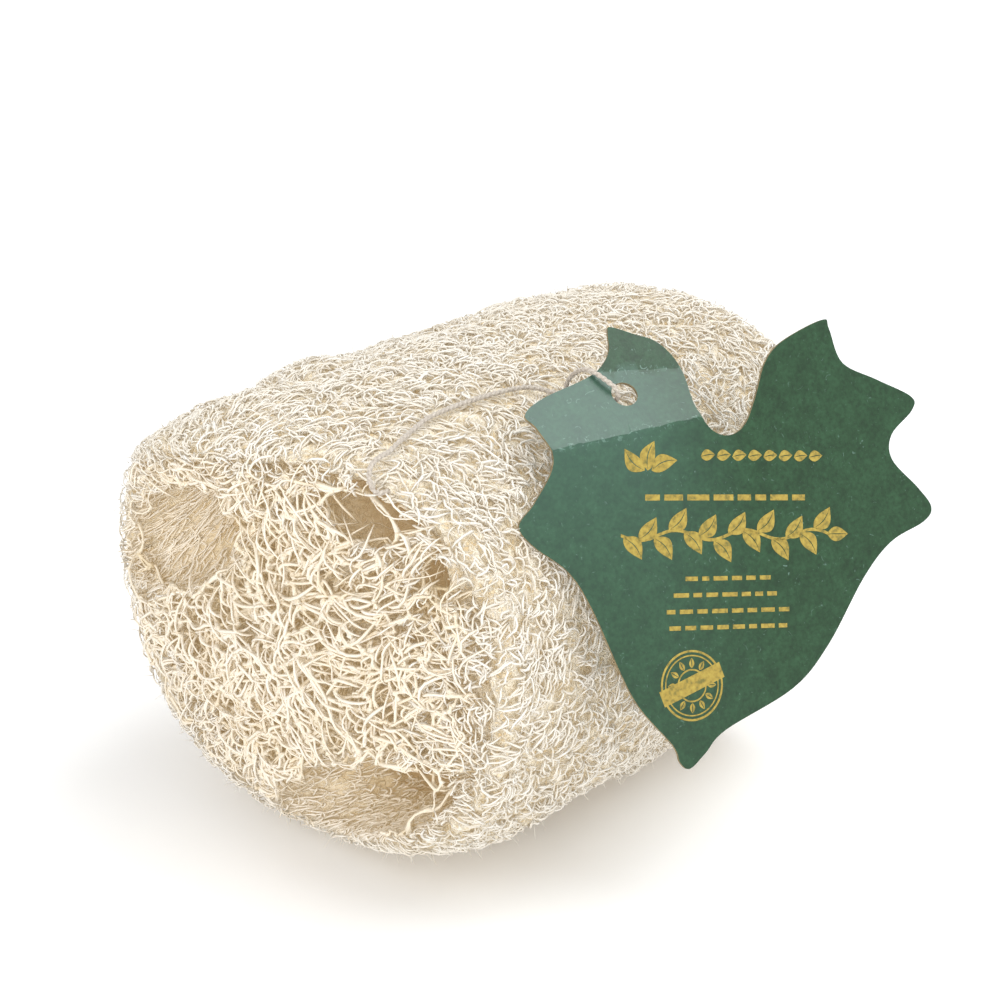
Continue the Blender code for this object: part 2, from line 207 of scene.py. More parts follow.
def linear(hex_colour):
    """An sRGB hex colour as linear red, green, blue and alpha."""
    value = np.array([int(hex_colour[i : i + 2], 16) for i in (1, 3, 5)]) / 255
    value = np.where(value <= 0.04045, value / 12.92, ((value + 0.055) / 1.055) ** 2.4)
    return (*value, 1)


def add_node(tree, kind, links=(), **settings):
    """A shader node: settings name its properties, or its sockets with _ for a space, and links
    are pairs of this node's socket and the output or the value that goes in."""
    made = tree.nodes.new("ShaderNode" + kind)
    for key, value in settings.items():
        if hasattr(made, key):
            setattr(made, key, value)
        else:
            made.inputs[key.replace("_", " ")].default_value = value
    for key, source in links:
        if isinstance(source, bpy.types.NodeSocket):
            tree.links.new(made.inputs[key], source)
        else:
            made.inputs[key].default_value = source
    return made


def object_place(tree):
    """The place on the object, in metres."""
    return add_node(tree, "TexCoord").outputs["Object"]


def point_value(tree, name):
    """The mesh attribute of a name."""
    return add_node(tree, "Attribute", attribute_name=name).outputs["Fac"]


def noise(tree, place, scale, detail, distortion=0.0):
    """Noise from 0 to 1 with a number of features to the metre."""
    settings = {"Scale": scale, "Detail": detail, "Distortion": distortion}
    return add_node(tree, "TexNoise", [("Vector", place)], **settings).outputs["Fac"]


def maths(tree, operation, *values):
    """The result of one step of arithmetic on outputs or numbers."""
    return add_node(tree, "Math", enumerate(values), operation=operation).outputs[0]


def map_range(tree, value, low, high, to_low=0.0, to_high=1.0):
    """A value carried from the range low to high into another one, and held inside it."""
    settings = {"From_Min": low, "From_Max": high, "To_Min": to_low, "To_Max": to_high}
    return add_node(tree, "MapRange", [("Value", value)], **settings).outputs["Result"]


def colour_ramp(tree, factor, stops):
    """The colour of a ramp at an output, with stops as pairs of place and hex colour."""
    ramp = add_node(tree, "ValToRGB", [("Fac", factor)])
    while len(ramp.color_ramp.elements) < len(stops):
        ramp.color_ramp.elements.new(0.5)
    for element, (place, colour) in zip(ramp.color_ramp.elements, stops):
        element.position = place
        element.color = linear(colour)
    return ramp.outputs["Color"]


def new_material(name, **settings):
    """A material with a Principled shader; returns the material, its tree and the shader."""
    made = bpy.data.materials.new(name)
    made.use_nodes = True
    shader = made.node_tree.nodes["Principled BSDF"]
    for key, value in settings.items():
        shader.inputs[key.replace("_", " ")].default_value = value
    return made, made.node_tree, shader


def cover(tree, shader, colour, height=None, strength=0.5, distance=0.0001):
    """Links a colour to the shader, and a height as its bump."""
    tree.links.new(shader.inputs["Base Color"], colour)
    if height is not None:
        bump = add_node(tree, "Bump", [("Height", height)], Strength=strength, Distance=distance)
        tree.links.new(shader.inputs["Normal"], bump.outputs["Normal"])


# Hemp twine is dull and greyish, with painted shade in the grooves between its plies, and lint that
# blurs its grooves.
def twine_material():
    made, tree, shader = new_material("hemp_twine", Roughness=0.85, Sheen_Weight=0.3)
    lint = noise(tree, object_place(tree), 2600, 3)
    # Painted shade: the twine's profile, lower in its grooves, darkens the colour there.
    shade = maths(tree, "MULTIPLY", point_value(tree, "strand"), lint)
    stops = [(0.1, "#877B6F"), (0.35, "#B0A598"), (0.7, "#CFC6BA")]
    cover(tree, shader, colour_ramp(tree, shade, stops), lint, 0.5)
    return made


string_path = even_path(np.array(STRING_ROUTE_MM) / 1000, TWINE_RING_SPACING)
points, faces, strand = twisted_tube(string_path, TWINE_DIAMETER / 2, TWINE_TWIST_LENGTH)
string = add_mesh("string_twine", points, faces, strand=strand)
string.data.materials.append(twine_material())

# Knot: the string's own end, of the same hemp, wound round its standing part where it comes back
# over the tag's edge, and left with a short tail.
KNOT_MIDDLE = np.array([-0.0083, -0.0310, 0.0946])
KNOT_ALONG = np.array([0.14, -0.99, 0.03])
KNOT_RADIUS = 0.00135
KNOT_PITCH = 0.0012
KNOT_TURNS = 2.4
KNOT_TAIL = 0.004
KNOT_RINGS = 130

knot_along = unit(KNOT_ALONG)
knot_out = unit(np.array([-1.0, 0, 0]) + knot_along * knot_along[0])
knot_down = np.cross(knot_along, knot_out)
turn = np.linspace(0, KNOT_TURNS, KNOT_RINGS)[:, None]
coil = (
    KNOT_MIDDLE
    + KNOT_RADIUS * (knot_out * np.cos(turn * 2 * math.pi) + knot_down * np.sin(turn * 2 * math.pi))
    + knot_along * (turn - KNOT_TURNS / 2) * KNOT_PITCH
)
tail = coil[-1] + unit(coil[-1] - coil[-2]) * np.linspace(0, KNOT_TAIL, 20)[1:, None]
coil = np.concatenate([coil, tail])
points, faces, strand = twisted_tube(coil, TWINE_DIAMETER / 2, TWINE_TWIST_LENGTH)
knot = add_mesh("string_knot", points, faces, strand=strand)
knot.data.materials.append(string.data.materials[0])

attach(string, "root")
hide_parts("string")
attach(knot, "root")
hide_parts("knot")


# Sponge ground: under the fibres the dried skeleton is felted so densely that it reads as one
# tan mat, with pits between the strands and three smooth seed chambers running through.
RADIUS = 0.052
HALF_LENGTH = 0.054
AXIS_HEIGHT = 0.0492
FLATTENING = 0.0027
THREE_LOBES = 0.0012
NEAR_SIDE_HOLLOW = 0.005
MOUTH_FLARE = 0.0022
EDGE_ROUND = 0.0035
# The last share of the way from the axis to the wall, which the cut's rounded edge takes up
ROUNDED_SHARE = 0.1
LUMP_HEIGHT = 0.0010
LUMP_SIZE = 0.012
# Middle and spread of the two lumpy sides, in degrees round the fruit
LUMPY_SIDES = ((52, 30), (232, 20))
CORE_BULGE = 0.004
BACK_SLANT = 0.0055
# Angle and distance of each seed chamber's middle, and its half width and half depth
CHAMBERS = {
    "far": (math.radians(50), 0.0355, 0.0175, 0.0080),
    "near": (math.radians(131), 0.0370, 0.0170, 0.0078),
    "low": (math.radians(229), 0.0345, 0.0200, 0.0082),
}
MOUTH_DEPTH = 0.006
MOUTH_WIDTH = 0.003
MOUTH_LENGTH = 0.014
# Oval mouths of two chambers in the front cut: middle Y and Z, half length and half width,
# direction, and the X where the mouth ends
MOUTHS = {
    "far": ((0.0282, 0.0638), (0.0314, 0.0110), math.radians(150), -0.0510),
    "low": ((-0.0158, 0.0213), (0.0300, 0.0094), math.radians(154), -0.0510),
}
MOUTH_REACH = 0.018
NEAR_HOLES = [
    ((-0.0230, 0.0812), (0.0070, 0.0042), math.radians(10)),
    ((-0.0370, 0.0731), (0.0036, 0.0028), math.radians(73)),
]
# The ground lies this far below the wall and the cuts, under the fibres
GROUND_BELOW_SIDE = 0.0008
GROUND_BELOW_FACE = 0.0042
GROUND_ROWS = 62
GROUND_COLUMNS = 200
GROUND_FACE_ROWS = 28
GROUND_RELIEF = 0.0009
GROUND_NET_SIZE = 0.0026
CHAMBER_BORDER = 0.0006
# Distance in from the front cut over which the chambers' walls take on their painted shade
CHAMBER_DARKENS_OVER = 0.020
GROUND_OVER_FLOOR = 0.0002


def bell(value, middle, width):
    """A bell curve: 1 at its middle, and 1/e a width away from it."""
    return np.exp(-(((value - middle) / width) ** 2))


def wall_radius(angle, along):
    """Radius of the fruit: a mean, two and three lobes round it, a hollow on the near side, and
    towards the front cut a pinch and a small flare beside the far chamber's mouth; along runs
    from -1 at the front to 1 at the back."""
    degrees = np.degrees(angle)
    lobes = FLATTENING * np.cos(2 * angle) + THREE_LOBES * np.cos(3 * angle - math.radians(36))
    hollow = NEAR_SIDE_HOLLOW * bell(degrees % 360, 165, 32)
    pinch = 0.0023 + 0.0043 * np.cos(2 * angle - math.radians(150))
    flare = MOUTH_FLARE * bell((degrees + 168) % 360, 180, 28)
    return RADIUS - 0.0006 * along + lobes - hollow + (flare - pinch) * np.exp(-(along + 1) / 0.22)


def front_edge(angle):
    """X of the uneven front cut at the wall: one, two and three waves round it."""
    return (
        -HALF_LENGTH
        - 0.006 * np.sin(angle + math.radians(20))
        + 0.004 * np.cos(2 * angle + math.radians(23))
        + 0.003 * np.cos(3 * angle - math.radians(56))
    )


def back_edge(angle):
    """X of the slanting back cut at the wall."""
    slant = BACK_SLANT * np.sin(angle - math.radians(25))
    return HALF_LENGTH + slant + 0.0015 * np.cos(2 * angle) + 0.001 * np.sin(3 * angle)


def waves(points, size, seed, count=48):
    """A smooth random field of about one, with features of one size: a sum of plane waves in
    random directions and phases."""
    rng = np.random.default_rng(seed)
    directions = unit(rng.normal(size=(count, 3))) * rng.uniform(0.7, 1.4, (count, 1))
    phases = rng.uniform(0, 2 * math.pi, count)
    angles = points @ directions.T * (math.pi / size) + phases
    return np.cos(angles).sum(-1) * math.sqrt(2 / count)


def about_axis(x, radius, angle):
    """Points at X and at a radius and an angle about the fruit's axis."""
    return np.stack([x, radius * np.cos(angle), AXIS_HEIGHT + radius * np.sin(angle)], -1)


def from_axis(points):
    """Angle and radius of points about the fruit's axis."""
    y, z = points[..., 1], points[..., 2] - AXIS_HEIGHT
    return np.arctan2(z, y), np.hypot(y, z)


def side_point(angle, along, lift=0.0):
    """A point on the wall, or a lift above it along the radius. On the far top and low in front
    the wall rises and falls in shallow lumps, which die out towards both cuts."""
    front = front_edge(angle) + EDGE_ROUND
    back = back_edge(angle) - EDGE_ROUND
    x = front + (back - front) * (along + 1) / 2
    radius = wall_radius(angle, along)
    lumps = waves(np.stack([x, radius * np.cos(angle), radius * np.sin(angle)], -1), LUMP_SIZE, 71)
    lumpy = sum(bell(np.degrees(angle) % 360, *side) for side in LUMPY_SIDES)
    return about_axis(x, radius + lift + LUMP_HEIGHT * lumps * lumpy * (1 - along**4), angle)


def edge_rounding(share):
    """How far places on a cut are into its rounded edge: 0 before it and 1 on the wall."""
    return np.clip((share - (1 - ROUNDED_SHARE)) / ROUNDED_SHARE, 0, 1)


def face_point(angle, share, end, lift=0.0):
    """A point on the cut face at end -1 or 1, at a share of the way from the axis to the wall, or
    a lift outside it: the edge's wave grows with the square of the share, the core bulges, and a
    quarter circle rounds the last tenth."""
    edge = np.where(end < 0, front_edge(angle), back_edge(angle))
    middle = end * HALF_LENGTH
    rounding = edge_rounding(share)
    inwards = EDGE_ROUND * (1 - np.sqrt(1 - rounding**2))
    x = middle + (edge - middle) * share**2 + end * (CORE_BULGE * (1 - share**2) - inwards)
    radius = share * wall_radius(angle, end) + lift * rounding
    return about_axis(x + end * lift * (1 - rounding), radius, angle)


def front_cut(points):
    """X of the front cut where points are, by the formula for points on the face."""
    angle, radius = from_axis(points)
    share = np.clip(radius / wall_radius(angle, -1.0), 0, 1)
    return face_point(angle, share, -1.0)[..., 0]


def under_wall(points):
    """How far places lie inside the wall, along the radius."""
    angle, radius = from_axis(points)
    front, back = front_edge(angle), back_edge(angle)
    along = np.clip(2 * (points[..., 0] - front) / (back - front) - 1, -1, 1)
    return wall_radius(angle, along) - radius


def oval(points, middle, half, direction):
    """Distance of places from an oval's middle in the plane of Y and Z, 1 on the oval itself."""
    y, z = points[..., 1] - middle[0], points[..., 2] - middle[1]
    along = (y * math.cos(direction) + z * math.sin(direction)) / half[0]
    across = (z * math.cos(direction) - y * math.sin(direction)) / half[1]
    return np.hypot(along, across)


def mouth_share(x, name):
    """How far a chamber has opened into its oval mouth at X: from 0 inside to 1 at the cut."""
    if name not in MOUTHS:
        return 0 * x
    t = np.clip((MOUTHS[name][3] + MOUTH_REACH - x) / MOUTH_REACH, 0, 1)
    return t * t * (3 - 2 * t)


def chamber_depth(points, name):
    """How far outside a seed chamber's wall points lie, about in metres: the chamber is a lens
    bent round the axis that opens towards both cuts, and towards the front two of them turn
    into ovals."""
    angle, distance, half_width, half_depth = CHAMBERS[name]
    x, (turn, radius) = points[..., 0], from_axis(points)
    to_front = np.clip((x + HALF_LENGTH - MOUTH_LENGTH / 2) / MOUTH_LENGTH, -1, 0)
    to_back = np.clip((HALF_LENGTH - x - MOUTH_LENGTH / 2) / MOUTH_LENGTH, -1, 0) / 2
    opened = -(to_front + to_back)
    inwards = MOUTH_DEPTH * opened / 2
    turned = (turn - angle + math.pi) % (2 * math.pi) - math.pi
    across = turned * distance / (half_width + MOUTH_WIDTH * opened)
    deep = (radius - distance + inwards) / (half_depth + inwards)
    lens = (np.hypot(across, deep) - 1) * half_depth
    if name not in MOUTHS:
        return lens
    share = mouth_share(x, name)
    middle, half, direction, _ = MOUTHS[name]
    return lens * (1 - share) + (oval(points, middle, half, direction) - 1) * half[1] * share


def outside_chambers(points):
    """Least distance outside any seed chamber's wall."""
    return np.min([chamber_depth(points, name) for name in CHAMBERS], axis=0)


def net_height(points, size, seed):
    """Height of a net of ridges from 0 in the meshes to 1 on the strands: each of two random
    fields gives a strand where it is nearly nought."""
    first = np.exp(-((waves(points, size, seed) * 2.6) ** 2))
    second = np.exp(-((waves(points, size * 0.8, seed + 1) * 2.6) ** 2))
    return np.maximum(first, second)


def ground_body():
    """Points and faces of the closed ground: one row of rings from the middle of the front cut
    over the wall to the middle of the back cut."""
    angle = np.arange(GROUND_COLUMNS) * 2 * math.pi / GROUND_COLUMNS
    share = np.sin(np.linspace(0.01, 1, GROUND_FACE_ROWS) * math.pi / 2)[:, None]
    along = np.linspace(-1, 1, GROUND_ROWS)[1:-1, None]
    rounding = edge_rounding(share)
    below = GROUND_BELOW_FACE + (GROUND_BELOW_SIDE - GROUND_BELOW_FACE) * rounding
    front = face_point(angle, share, -1.0, -below)
    side = side_point(angle, along, -GROUND_BELOW_SIDE)
    back = face_point(angle, share, 1.0, -below)[::-1]
    points = np.concatenate([front, side, back])
    rows = len(points)
    faces = grid_faces(rows, GROUND_COLUMNS)
    points = points.reshape(-1, 3)
    first, last = len(points), len(points) + 1
    ends = points[:GROUND_COLUMNS], points[-GROUND_COLUMNS:]
    points = np.concatenate([points, *(end.mean(0)[None] for end in ends)])
    ring = np.arange(GROUND_COLUMNS)
    beside = (ring + 1) % GROUND_COLUMNS
    end = (rows - 1) * GROUND_COLUMNS
    caps = [
        np.stack([ring * 0 + first, beside, ring], -1),
        np.stack([ring * 0 + last, ring + end, beside + end], -1),
    ]
    return points, [faces, *caps]


def chamber_middle(name):
    """Y and Z of a seed chamber's middle."""
    angle, distance = CHAMBERS[name][:2]
    return distance * math.cos(angle), AXIS_HEIGHT + distance * math.sin(angle)


def chamber_wall(name, x, around, lift=0.0, reach=0.05, halvings=18):
    """Points on a seed chamber's wall, or a lift inside it: from the chamber's middle at X a ray
    runs out, and the distance where the depth changes its sign is found by halving."""
    share = mouth_share(x, name)
    y, z = chamber_middle(name)
    if name in MOUTHS:
        y = y + share * (MOUTHS[name][0][0] - y)
        z = z + share * (MOUTHS[name][0][1] - z)
    way = CHAMBERS[name][0] + math.pi / 2 + np.arctan2(np.sin(around), 2.2 * np.cos(around))
    inner, outer = 0 * (x + way), 0 * (x + way) + reach
    for _ in range(halvings):
        tried = (inner + outer) / 2
        points = np.stack([x + 0 * way, y + tried * np.cos(way), z + tried * np.sin(way)], -1)
        inside = chamber_depth(points, name) < -lift
        inner, outer = np.where(inside, tried, inner), np.where(inside, outer, tried)
    return points


def chamber_tube(name, rings=66, sides=60, past=0.02):
    """Points and faces of one seed chamber as a closed tube past both cuts."""
    x = np.linspace(-HALF_LENGTH - past, HALF_LENGTH + past, rings)[:, None]
    around = np.arange(sides)[None] * 2 * math.pi / sides
    points = chamber_wall(name, x, around).reshape(-1, 3)
    rim = np.arange(1, sides - 1)
    end = (rings - 1) * sides
    start = np.stack([0 * rim, rim, rim + 1], -1)
    finish = np.stack([0 * rim + end, rim + 1 + end, rim + end], -1)
    return points, [grid_faces(rings, sides)[:, ::-1], start, finish]


def read_rows(collection, key, kind=np.float32):
    """A mesh property of three numbers each, as rows."""
    values = np.empty(len(collection) * 3, kind)
    collection.foreach_get(key, values)
    return values.reshape(-1, 3)


def outward(made):
    """Turns a closed mesh's faces outwards, by the sign of its volume."""
    mesh = made.data
    mesh.calc_loop_triangles()
    corners = read_rows(mesh.loop_triangles, "vertices", np.int32)
    if np.linalg.det(read_rows(mesh.vertices, "co").astype(float)[corners]).sum() < 0:
        mesh.flip_normals()


# Dried loofah cellulose: matt straw-coloured fibre, with painted shade that darkens it to tan in the
# pits between the strands and deeper into the chambers, and a faint warm glow that is painted light in
# its shade. The finest felt, under half a millimetre, is drawn in the material as two nets of curly
# lines, and on the smooth walls of the chambers as marks along the fruit.
def ground_material():
    made, tree, shader = new_material(
        "loofah_felt_ground",
        Roughness=0.8,
        # A faint warm glow: painted light that lifts the ground's shade.
        Emission_Color=linear("#DBC197"),
        Emission_Strength=0.16,
    )
    place = object_place(tree)
    curl = add_node(tree, "TexNoise", [("Vector", place)], Scale=420, Detail=2).outputs["Color"]
    curled = add_node(
        tree, "VectorMath", [(0, curl), (1, (0.0022, 0.0022, 0.0022)), (2, place)],
        operation="MULTIPLY_ADD",
    ).outputs["Vector"]
    nets = []
    for scale, edge in ((640, 0.16), (1150, 0.2)):
        felt = add_node(
            tree, "TexVoronoi", [("Vector", curled)], feature="DISTANCE_TO_EDGE", Scale=scale
        ).outputs["Distance"]
        nets.append(map_range(tree, felt, 0.02, edge, 1.0, 0.0))
    stretched = add_node(tree, "Mapping", [("Vector", place)], Scale=(0.22, 1, 1)).outputs["Vector"]
    marks = map_range(tree, noise(tree, stretched, 1500, 3, 0.4), 0.3, 0.7)
    strands = maths(tree, "MAXIMUM", *nets)
    drawn = add_node(
        tree, "Mix", [("Factor", point_value(tree, "chamber")), ("A", strands), ("B", marks)]
    ).outputs["Result"]
    # The drawn felt less the painted shade of the deep places sets the colour.
    raised = maths(tree, "SUBTRACT", drawn, point_value(tree, "deep"))
    stops = [(0.0, "#C7AF86"), (0.35, "#DACAAB"), (0.65, "#E3D8C3"), (1.0, "#EBE4D6")]
    colour = colour_ramp(tree, map_range(tree, raised, -0.9, 1.0), stops)
    cover(tree, shader, colour, drawn, 0.8, 0.0004)
    return made


points, faces = ground_body()
ground = add_mesh("sponge_ground", points, faces)
outward(ground)
cutters = bpy.data.collections.new("chambers")
for name in CHAMBERS:
    points, faces = chamber_tube(name)
    cutter = add_mesh("chamber_" + name, points, faces)
    outward(cutter)
    bpy.context.scene.collection.objects.unlink(cutter)
    cutters.objects.link(cutter)
hollowed = ground.modifiers.new("chambers", "BOOLEAN")
hollowed.operation = "DIFFERENCE"
hollowed.operand_type = "COLLECTION"
hollowed.collection = cutters
hollowed.solver = "MANIFOLD"
bpy.context.view_layer.update()
whole = ground.data
cut = ground.evaluated_get(bpy.context.evaluated_depsgraph_get())
ground.data = bpy.data.meshes.new_from_object(cut)
ground.modifiers.clear()
bpy.data.meshes.remove(whole)
for cutter in cutters.objects[:]:
    bpy.data.objects.remove(cutter)
bpy.data.collections.remove(cutters)

points = read_rows(ground.data.vertices, "co").astype(float)
in_chamber = np.clip(1 - np.abs(outside_chambers(points)) / CHAMBER_BORDER, 0, 1)
relief = net_height(points, GROUND_NET_SIZE, 11)
behind = np.clip((points[:, 0] - front_cut(points)) / CHAMBER_DARKENS_OVER, 0, 1)
raised = (relief - 0.5) * GROUND_RELIEF * (1 - 0.7 * in_chamber)
points += read_rows(ground.data.vertices, "normal") * raised[:, None]
points[:, 2] = np.maximum(points[:, 2], GROUND_OVER_FLOOR)
ground.data.vertices.foreach_set("co", points.astype(np.float32).ravel())
# Painted shade: darker in the pits of the net, and in the chambers the further in from the front cut.
deep = (1 - relief) * (1 - 0.7 * in_chamber) + (0.02 + 0.88 * behind) * in_chamber
for key, values in (("deep", deep), ("chamber", in_chamber * behind)):
    layer = ground.data.attributes.new(key, "FLOAT", "POINT")
    layer.data.foreach_set("value", values.astype(np.float32))
ground.data.polygons.foreach_set("use_smooth", np.full(len(ground.data.polygons), True))
ground.data.materials.clear()
ground.data.materials.append(ground_material())
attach(ground, "root")
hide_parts("sponge")


# Fibres: the skeleton's pale outer strands grew as one with the felt. Some half a millimetre thick,
# they lie on the wall as short curls and stand in the cuts as a forked net, strands and locks.
WALL_CURLS = 20400
WALL_LENGTH = 0.050
# The wall's fibres go on over both rims to this multiple of its half length
SKIN_END = 1.36
WALL_FIBRE_RADIUS = (0.00017, 0.00027)
WALL_LIFT = (-0.0004, 0.0006)
CURL_LENGTH = (0.0022, 0.0055)
CURL_BEND = (0.6, 2.4)
CURL_RINGS = 5
CORE_NODES = {"front": 2350, "back": 1300}
CORE_STRANDS = {"front": 620, "back": 300}
CORE_CURLS = {"front": 1500, "back": 650}
CORE_CURL_RINGS = 8
CORE_CURL_LENGTH = (0.005, 0.014)
CORE_CURL_RADIUS = (0.00017, 0.00038)
CORE_SHARE = 0.88
CORE_DEPTH = 0.0062
CORE_FIBRE_RADIUS = (0.00019, 0.00043)
NET_NEIGHBOURS = 11
LONGEST_LINK = 0.010
LONGEST_STEP = 0.007
FRINGE = 0.0026
TOP_CROWDING = 0.32
FIBRE_WIDTH = 1.25
FIBRE_HEIGHT = 0.7
FIBRES_OVER_FLOOR = 0.0001
FLOW_PULL = 0.9


def left_open(points, rng):
    """Whether places lie in an opening of the nets, whose border is ragged: a chamber's mouth,
    but of the near chamber's front one only two holes in the strands that bridge it."""
    ragged = rng.uniform(0, FRINGE, len(points))
    front = points[:, 0] < 0
    inside = np.zeros(len(points), bool)
    for name in CHAMBERS:
        inside |= (chamber_depth(points, name) < -ragged) & ((name != "near") | ~front)
    for hole in NEAR_HOLES:
        inside |= (oval(points, *hole) < 1) & front
    return inside


def spiral(count, seed, jitter):
    """Evenly spread turns (a golden angle apart) and fractions from 0 to 1, with jitter."""
    rng = np.random.default_rng(seed)
    index = np.arange(count) + rng.uniform(-jitter, jitter, count)
    turn = (index * math.pi * (3 - math.sqrt(5))) % (2 * math.pi)
    return turn, np.clip((index + 0.5) / count, 0, 1), rng


def nearest(places, near):
    """Indices of the nearest other places to each place, in no order."""
    index = np.empty((len(places), near), np.int64)
    for start in range(0, len(places), 800):
        block = places[start : start + 800]
        square = (block**2).sum(1)[:, None] + (places**2).sum(1)[None] - 2 * block @ places.T
        square[np.arange(len(block)), start + np.arange(len(block))] = np.inf
        index[start : start + 800] = np.argpartition(square, near, axis=1)[:, :near]
    return index


def net_pairs(places, index, keep):
    """Pairs of a net through scattered places: two are joined unless a third is nearer to both
    than keep times their distance."""
    around = places[index]
    length = np.linalg.norm(around - places[:, None], axis=-1)
    between = np.linalg.norm(around[:, :, None] - around[:, None], axis=-1)
    nearer = (length[:, None] < keep * length[:, :, None]) & (between < keep * length[:, :, None])
    first, which = np.nonzero(~nearer.any(-1))
    pairs = np.sort(np.stack([first, index[first, which]], -1), axis=1)
    return np.unique(pairs, axis=0)


def wander(places, index, flows, starts, steps, pull, rng):
    """Rows of place indices, one row for each strand: it starts along the flow and always goes
    on to the neighbour that lies straightest ahead, drawn a little to the flow."""
    here = starts
    heading = flows[here] * rng.choice([-1.0, 1.0], (len(starts), 1))
    route = [here]
    for _ in range(steps):
        flow = flows[here]
        wanted = heading + pull * np.sign((flow * heading).sum(-1, keepdims=True)) * flow
        wanted = unit(unit(wanted) + 0.35 * rng.normal(size=wanted.shape))
        step = places[index[here]] - places[here][:, None]
        straight = (unit(step) * wanted[:, None]).sum(-1)
        choice = straight.argmax(1)
        heading = unit(step[np.arange(len(here)), choice])
        here = index[here, choice]
        route.append(here)
    return np.stack(route, 1)


def tubes(paths, radii, outwards):
    """Points and faces of closed three-sided fibres, one for each path: at each ring the corners
    are one radius from the path, one of them outwards, squared to the way the fibre runs."""
    count, rings = paths.shape[:2]
    forward = unit(np.gradient(paths, axis=1))
    side = unit(np.cross(forward, outwards))
    up = np.cross(side, forward)
    corner = np.radians([90, 210, 330])
    points = (
        paths[:, :, None]
        + side[:, :, None] * (radii[..., None] * FIBRE_WIDTH * np.cos(corner))[..., None]
        + up[:, :, None] * (radii[..., None] * FIBRE_HEIGHT * np.sin(corner))[..., None]
    )
    quads = grid_faces(rings, 3)
    start = (np.arange(count) * rings * 3)[:, None, None]
    caps = np.array([[0, 2, 1], [rings * 3 - 3, rings * 3 - 2, rings * 3 - 1]])
    return points.reshape(-1, 3), [
        (quads[None] + start).reshape(-1, 4),
        (caps[None] + start).reshape(-1, 3),
    ]


def net_fibres(points, outwards, flows, pairs, radius, rings, flare, rng):
    """Paths, radii and outward directions of the fibres that join pairs of points. Each is a
    cubic curve that leaves its two points leaning towards the flow there, so that fibres merge
    as they meet, and its radius grows by the flare towards both ends."""
    t = np.linspace(0, 1, rings)[None, :, None]
    first, second = points[pairs[:, 0]], points[pairs[:, 1]]
    length = np.linalg.norm(second - first, axis=-1, keepdims=True)
    ahead = (second - first) / length
    pulls = []
    for column in (0, 1):
        flow = flows[pairs[:, column]]
        way = np.sign((flow * ahead).sum(-1, keepdims=True))
        pull = unit(ahead + FLOW_PULL * way * flow + 0.25 * rng.normal(size=ahead.shape))
        pulls.append(pull * length * 0.4)
    bends = [(first + pulls[0])[:, None], (second - pulls[1])[:, None]]
    first, second = first[:, None], second[:, None]
    paths = (1 - t) ** 3 * first + 3 * t * (1 - t) ** 2 * bends[0]
    paths = paths + 3 * t**2 * (1 - t) * bends[1] + t**3 * second
    ups = unit(outwards[pairs[:, 0], None] * (1 - t) + outwards[pairs[:, 1], None] * t)
    thick = rng.uniform(*radius, (len(pairs), 1)) * (1 + flare * (2 * t[..., 0] - 1) ** 2)
    return paths, thick, ups


def strand_fibres(points, outwards, routes, radius, spans, spread, rng):
    """Paths, radii and outward directions of strands along routes of points: splines cut into a
    number of spans between points, spread sideways at random so that strands on one route lie
    beside each other, and thin at both ends."""
    knots = points[routes] + spread * rng.normal(size=(*routes.shape, 3))
    before = np.concatenate([2 * knots[:, :1] - knots[:, 1:2], knots[:, :-1]], 1)[:, :-1, None]
    beyond = np.concatenate([knots[:, 2:], 2 * knots[:, -1:] - knots[:, -2:-1]], 1)[:, :, None]
    t = (np.arange(spans) / spans)[None, None, :, None]
    curve = spline(before, knots[:, :-1, None], knots[:, 1:, None], beyond, t)
    paths = np.concatenate([curve.reshape(len(routes), -1, 3), knots[:, -1:]], 1)
    place = np.linspace(0, 1, paths.shape[1])
    ups = outwards[routes]
    ups = np.concatenate([np.repeat(ups[:, :-1], spans, axis=1), ups[:, -1:]], 1)
    taper = 1 - 0.6 * np.abs(2 * place - 1) ** 5
    wave = 1 + 0.2 * np.sin(place * rng.uniform(8, 20, (len(routes), 1)))
    return paths, rng.uniform(*radius, (len(routes), 1)) * taper * wave, ups


def either_way(rng, least, most, size):
    """Random amounts between two, of either sign."""
    return rng.uniform(least, most, size) * rng.choice([-1.0, 1.0], size)


def arched(rings):
    """Square of the way from a fibre's middle to its ends, 1 at the ends."""
    return (2 * np.linspace(0, 1, rings)[None] - 1) ** 2


def curls(heading, length, bend, rings, rng):
    """Two arrays of flat offsets along curled lines, one row for each line and zero at its
    middle: the heading turns evenly by the bend, and to and fro in an S by up to a third of it."""
    t = np.linspace(-0.5, 0.5, rings)[None]
    swing = bend * t + bend * rng.uniform(-0.5, 0.5, (len(heading), 1)) * np.sin(2 * math.pi * t)
    way = heading[:, None] + swing
    step = length[:, None] / (rings - 1)
    flat = []
    for ahead in (np.cos(way), np.sin(way)):
        run = np.cumsum((ahead[:, 1:] + ahead[:, :-1]) / 2 * step, axis=1)
        run = np.concatenate([0 * run[:, :1], run], 1)
        flat.append(run - run[:, rings // 2][:, None])
    return flat


def fibre_material(name, roughness, glow, glow_strength, stops):
    """Straw fibre: the ramp runs from deep to outer strands, so deeper ones get painted shade, and
    fine marks run along them; a faint glow is painted light in their shade.
    """
    made, tree, shader = new_material(
        name,
        Roughness=roughness,
        Specular_IOR_Level=0.4,
        # A faint glow: painted light that lifts the fibre's shade.
        Emission_Color=linear(glow),
        Emission_Strength=glow_strength,
    )
    place = object_place(tree)
    marks = noise(tree, place, 900, 3)
    both = maths(tree, "ADD", marks, noise(tree, place, 60, 2))
    spread = maths(tree, "MULTIPLY_ADD", both, 0.35, point_value(tree, "tone"))
    colour = colour_ramp(tree, map_range(tree, spread, 0.35, 1.35), stops)
    cover(tree, shader, colour, marks, 0.4)
    return made
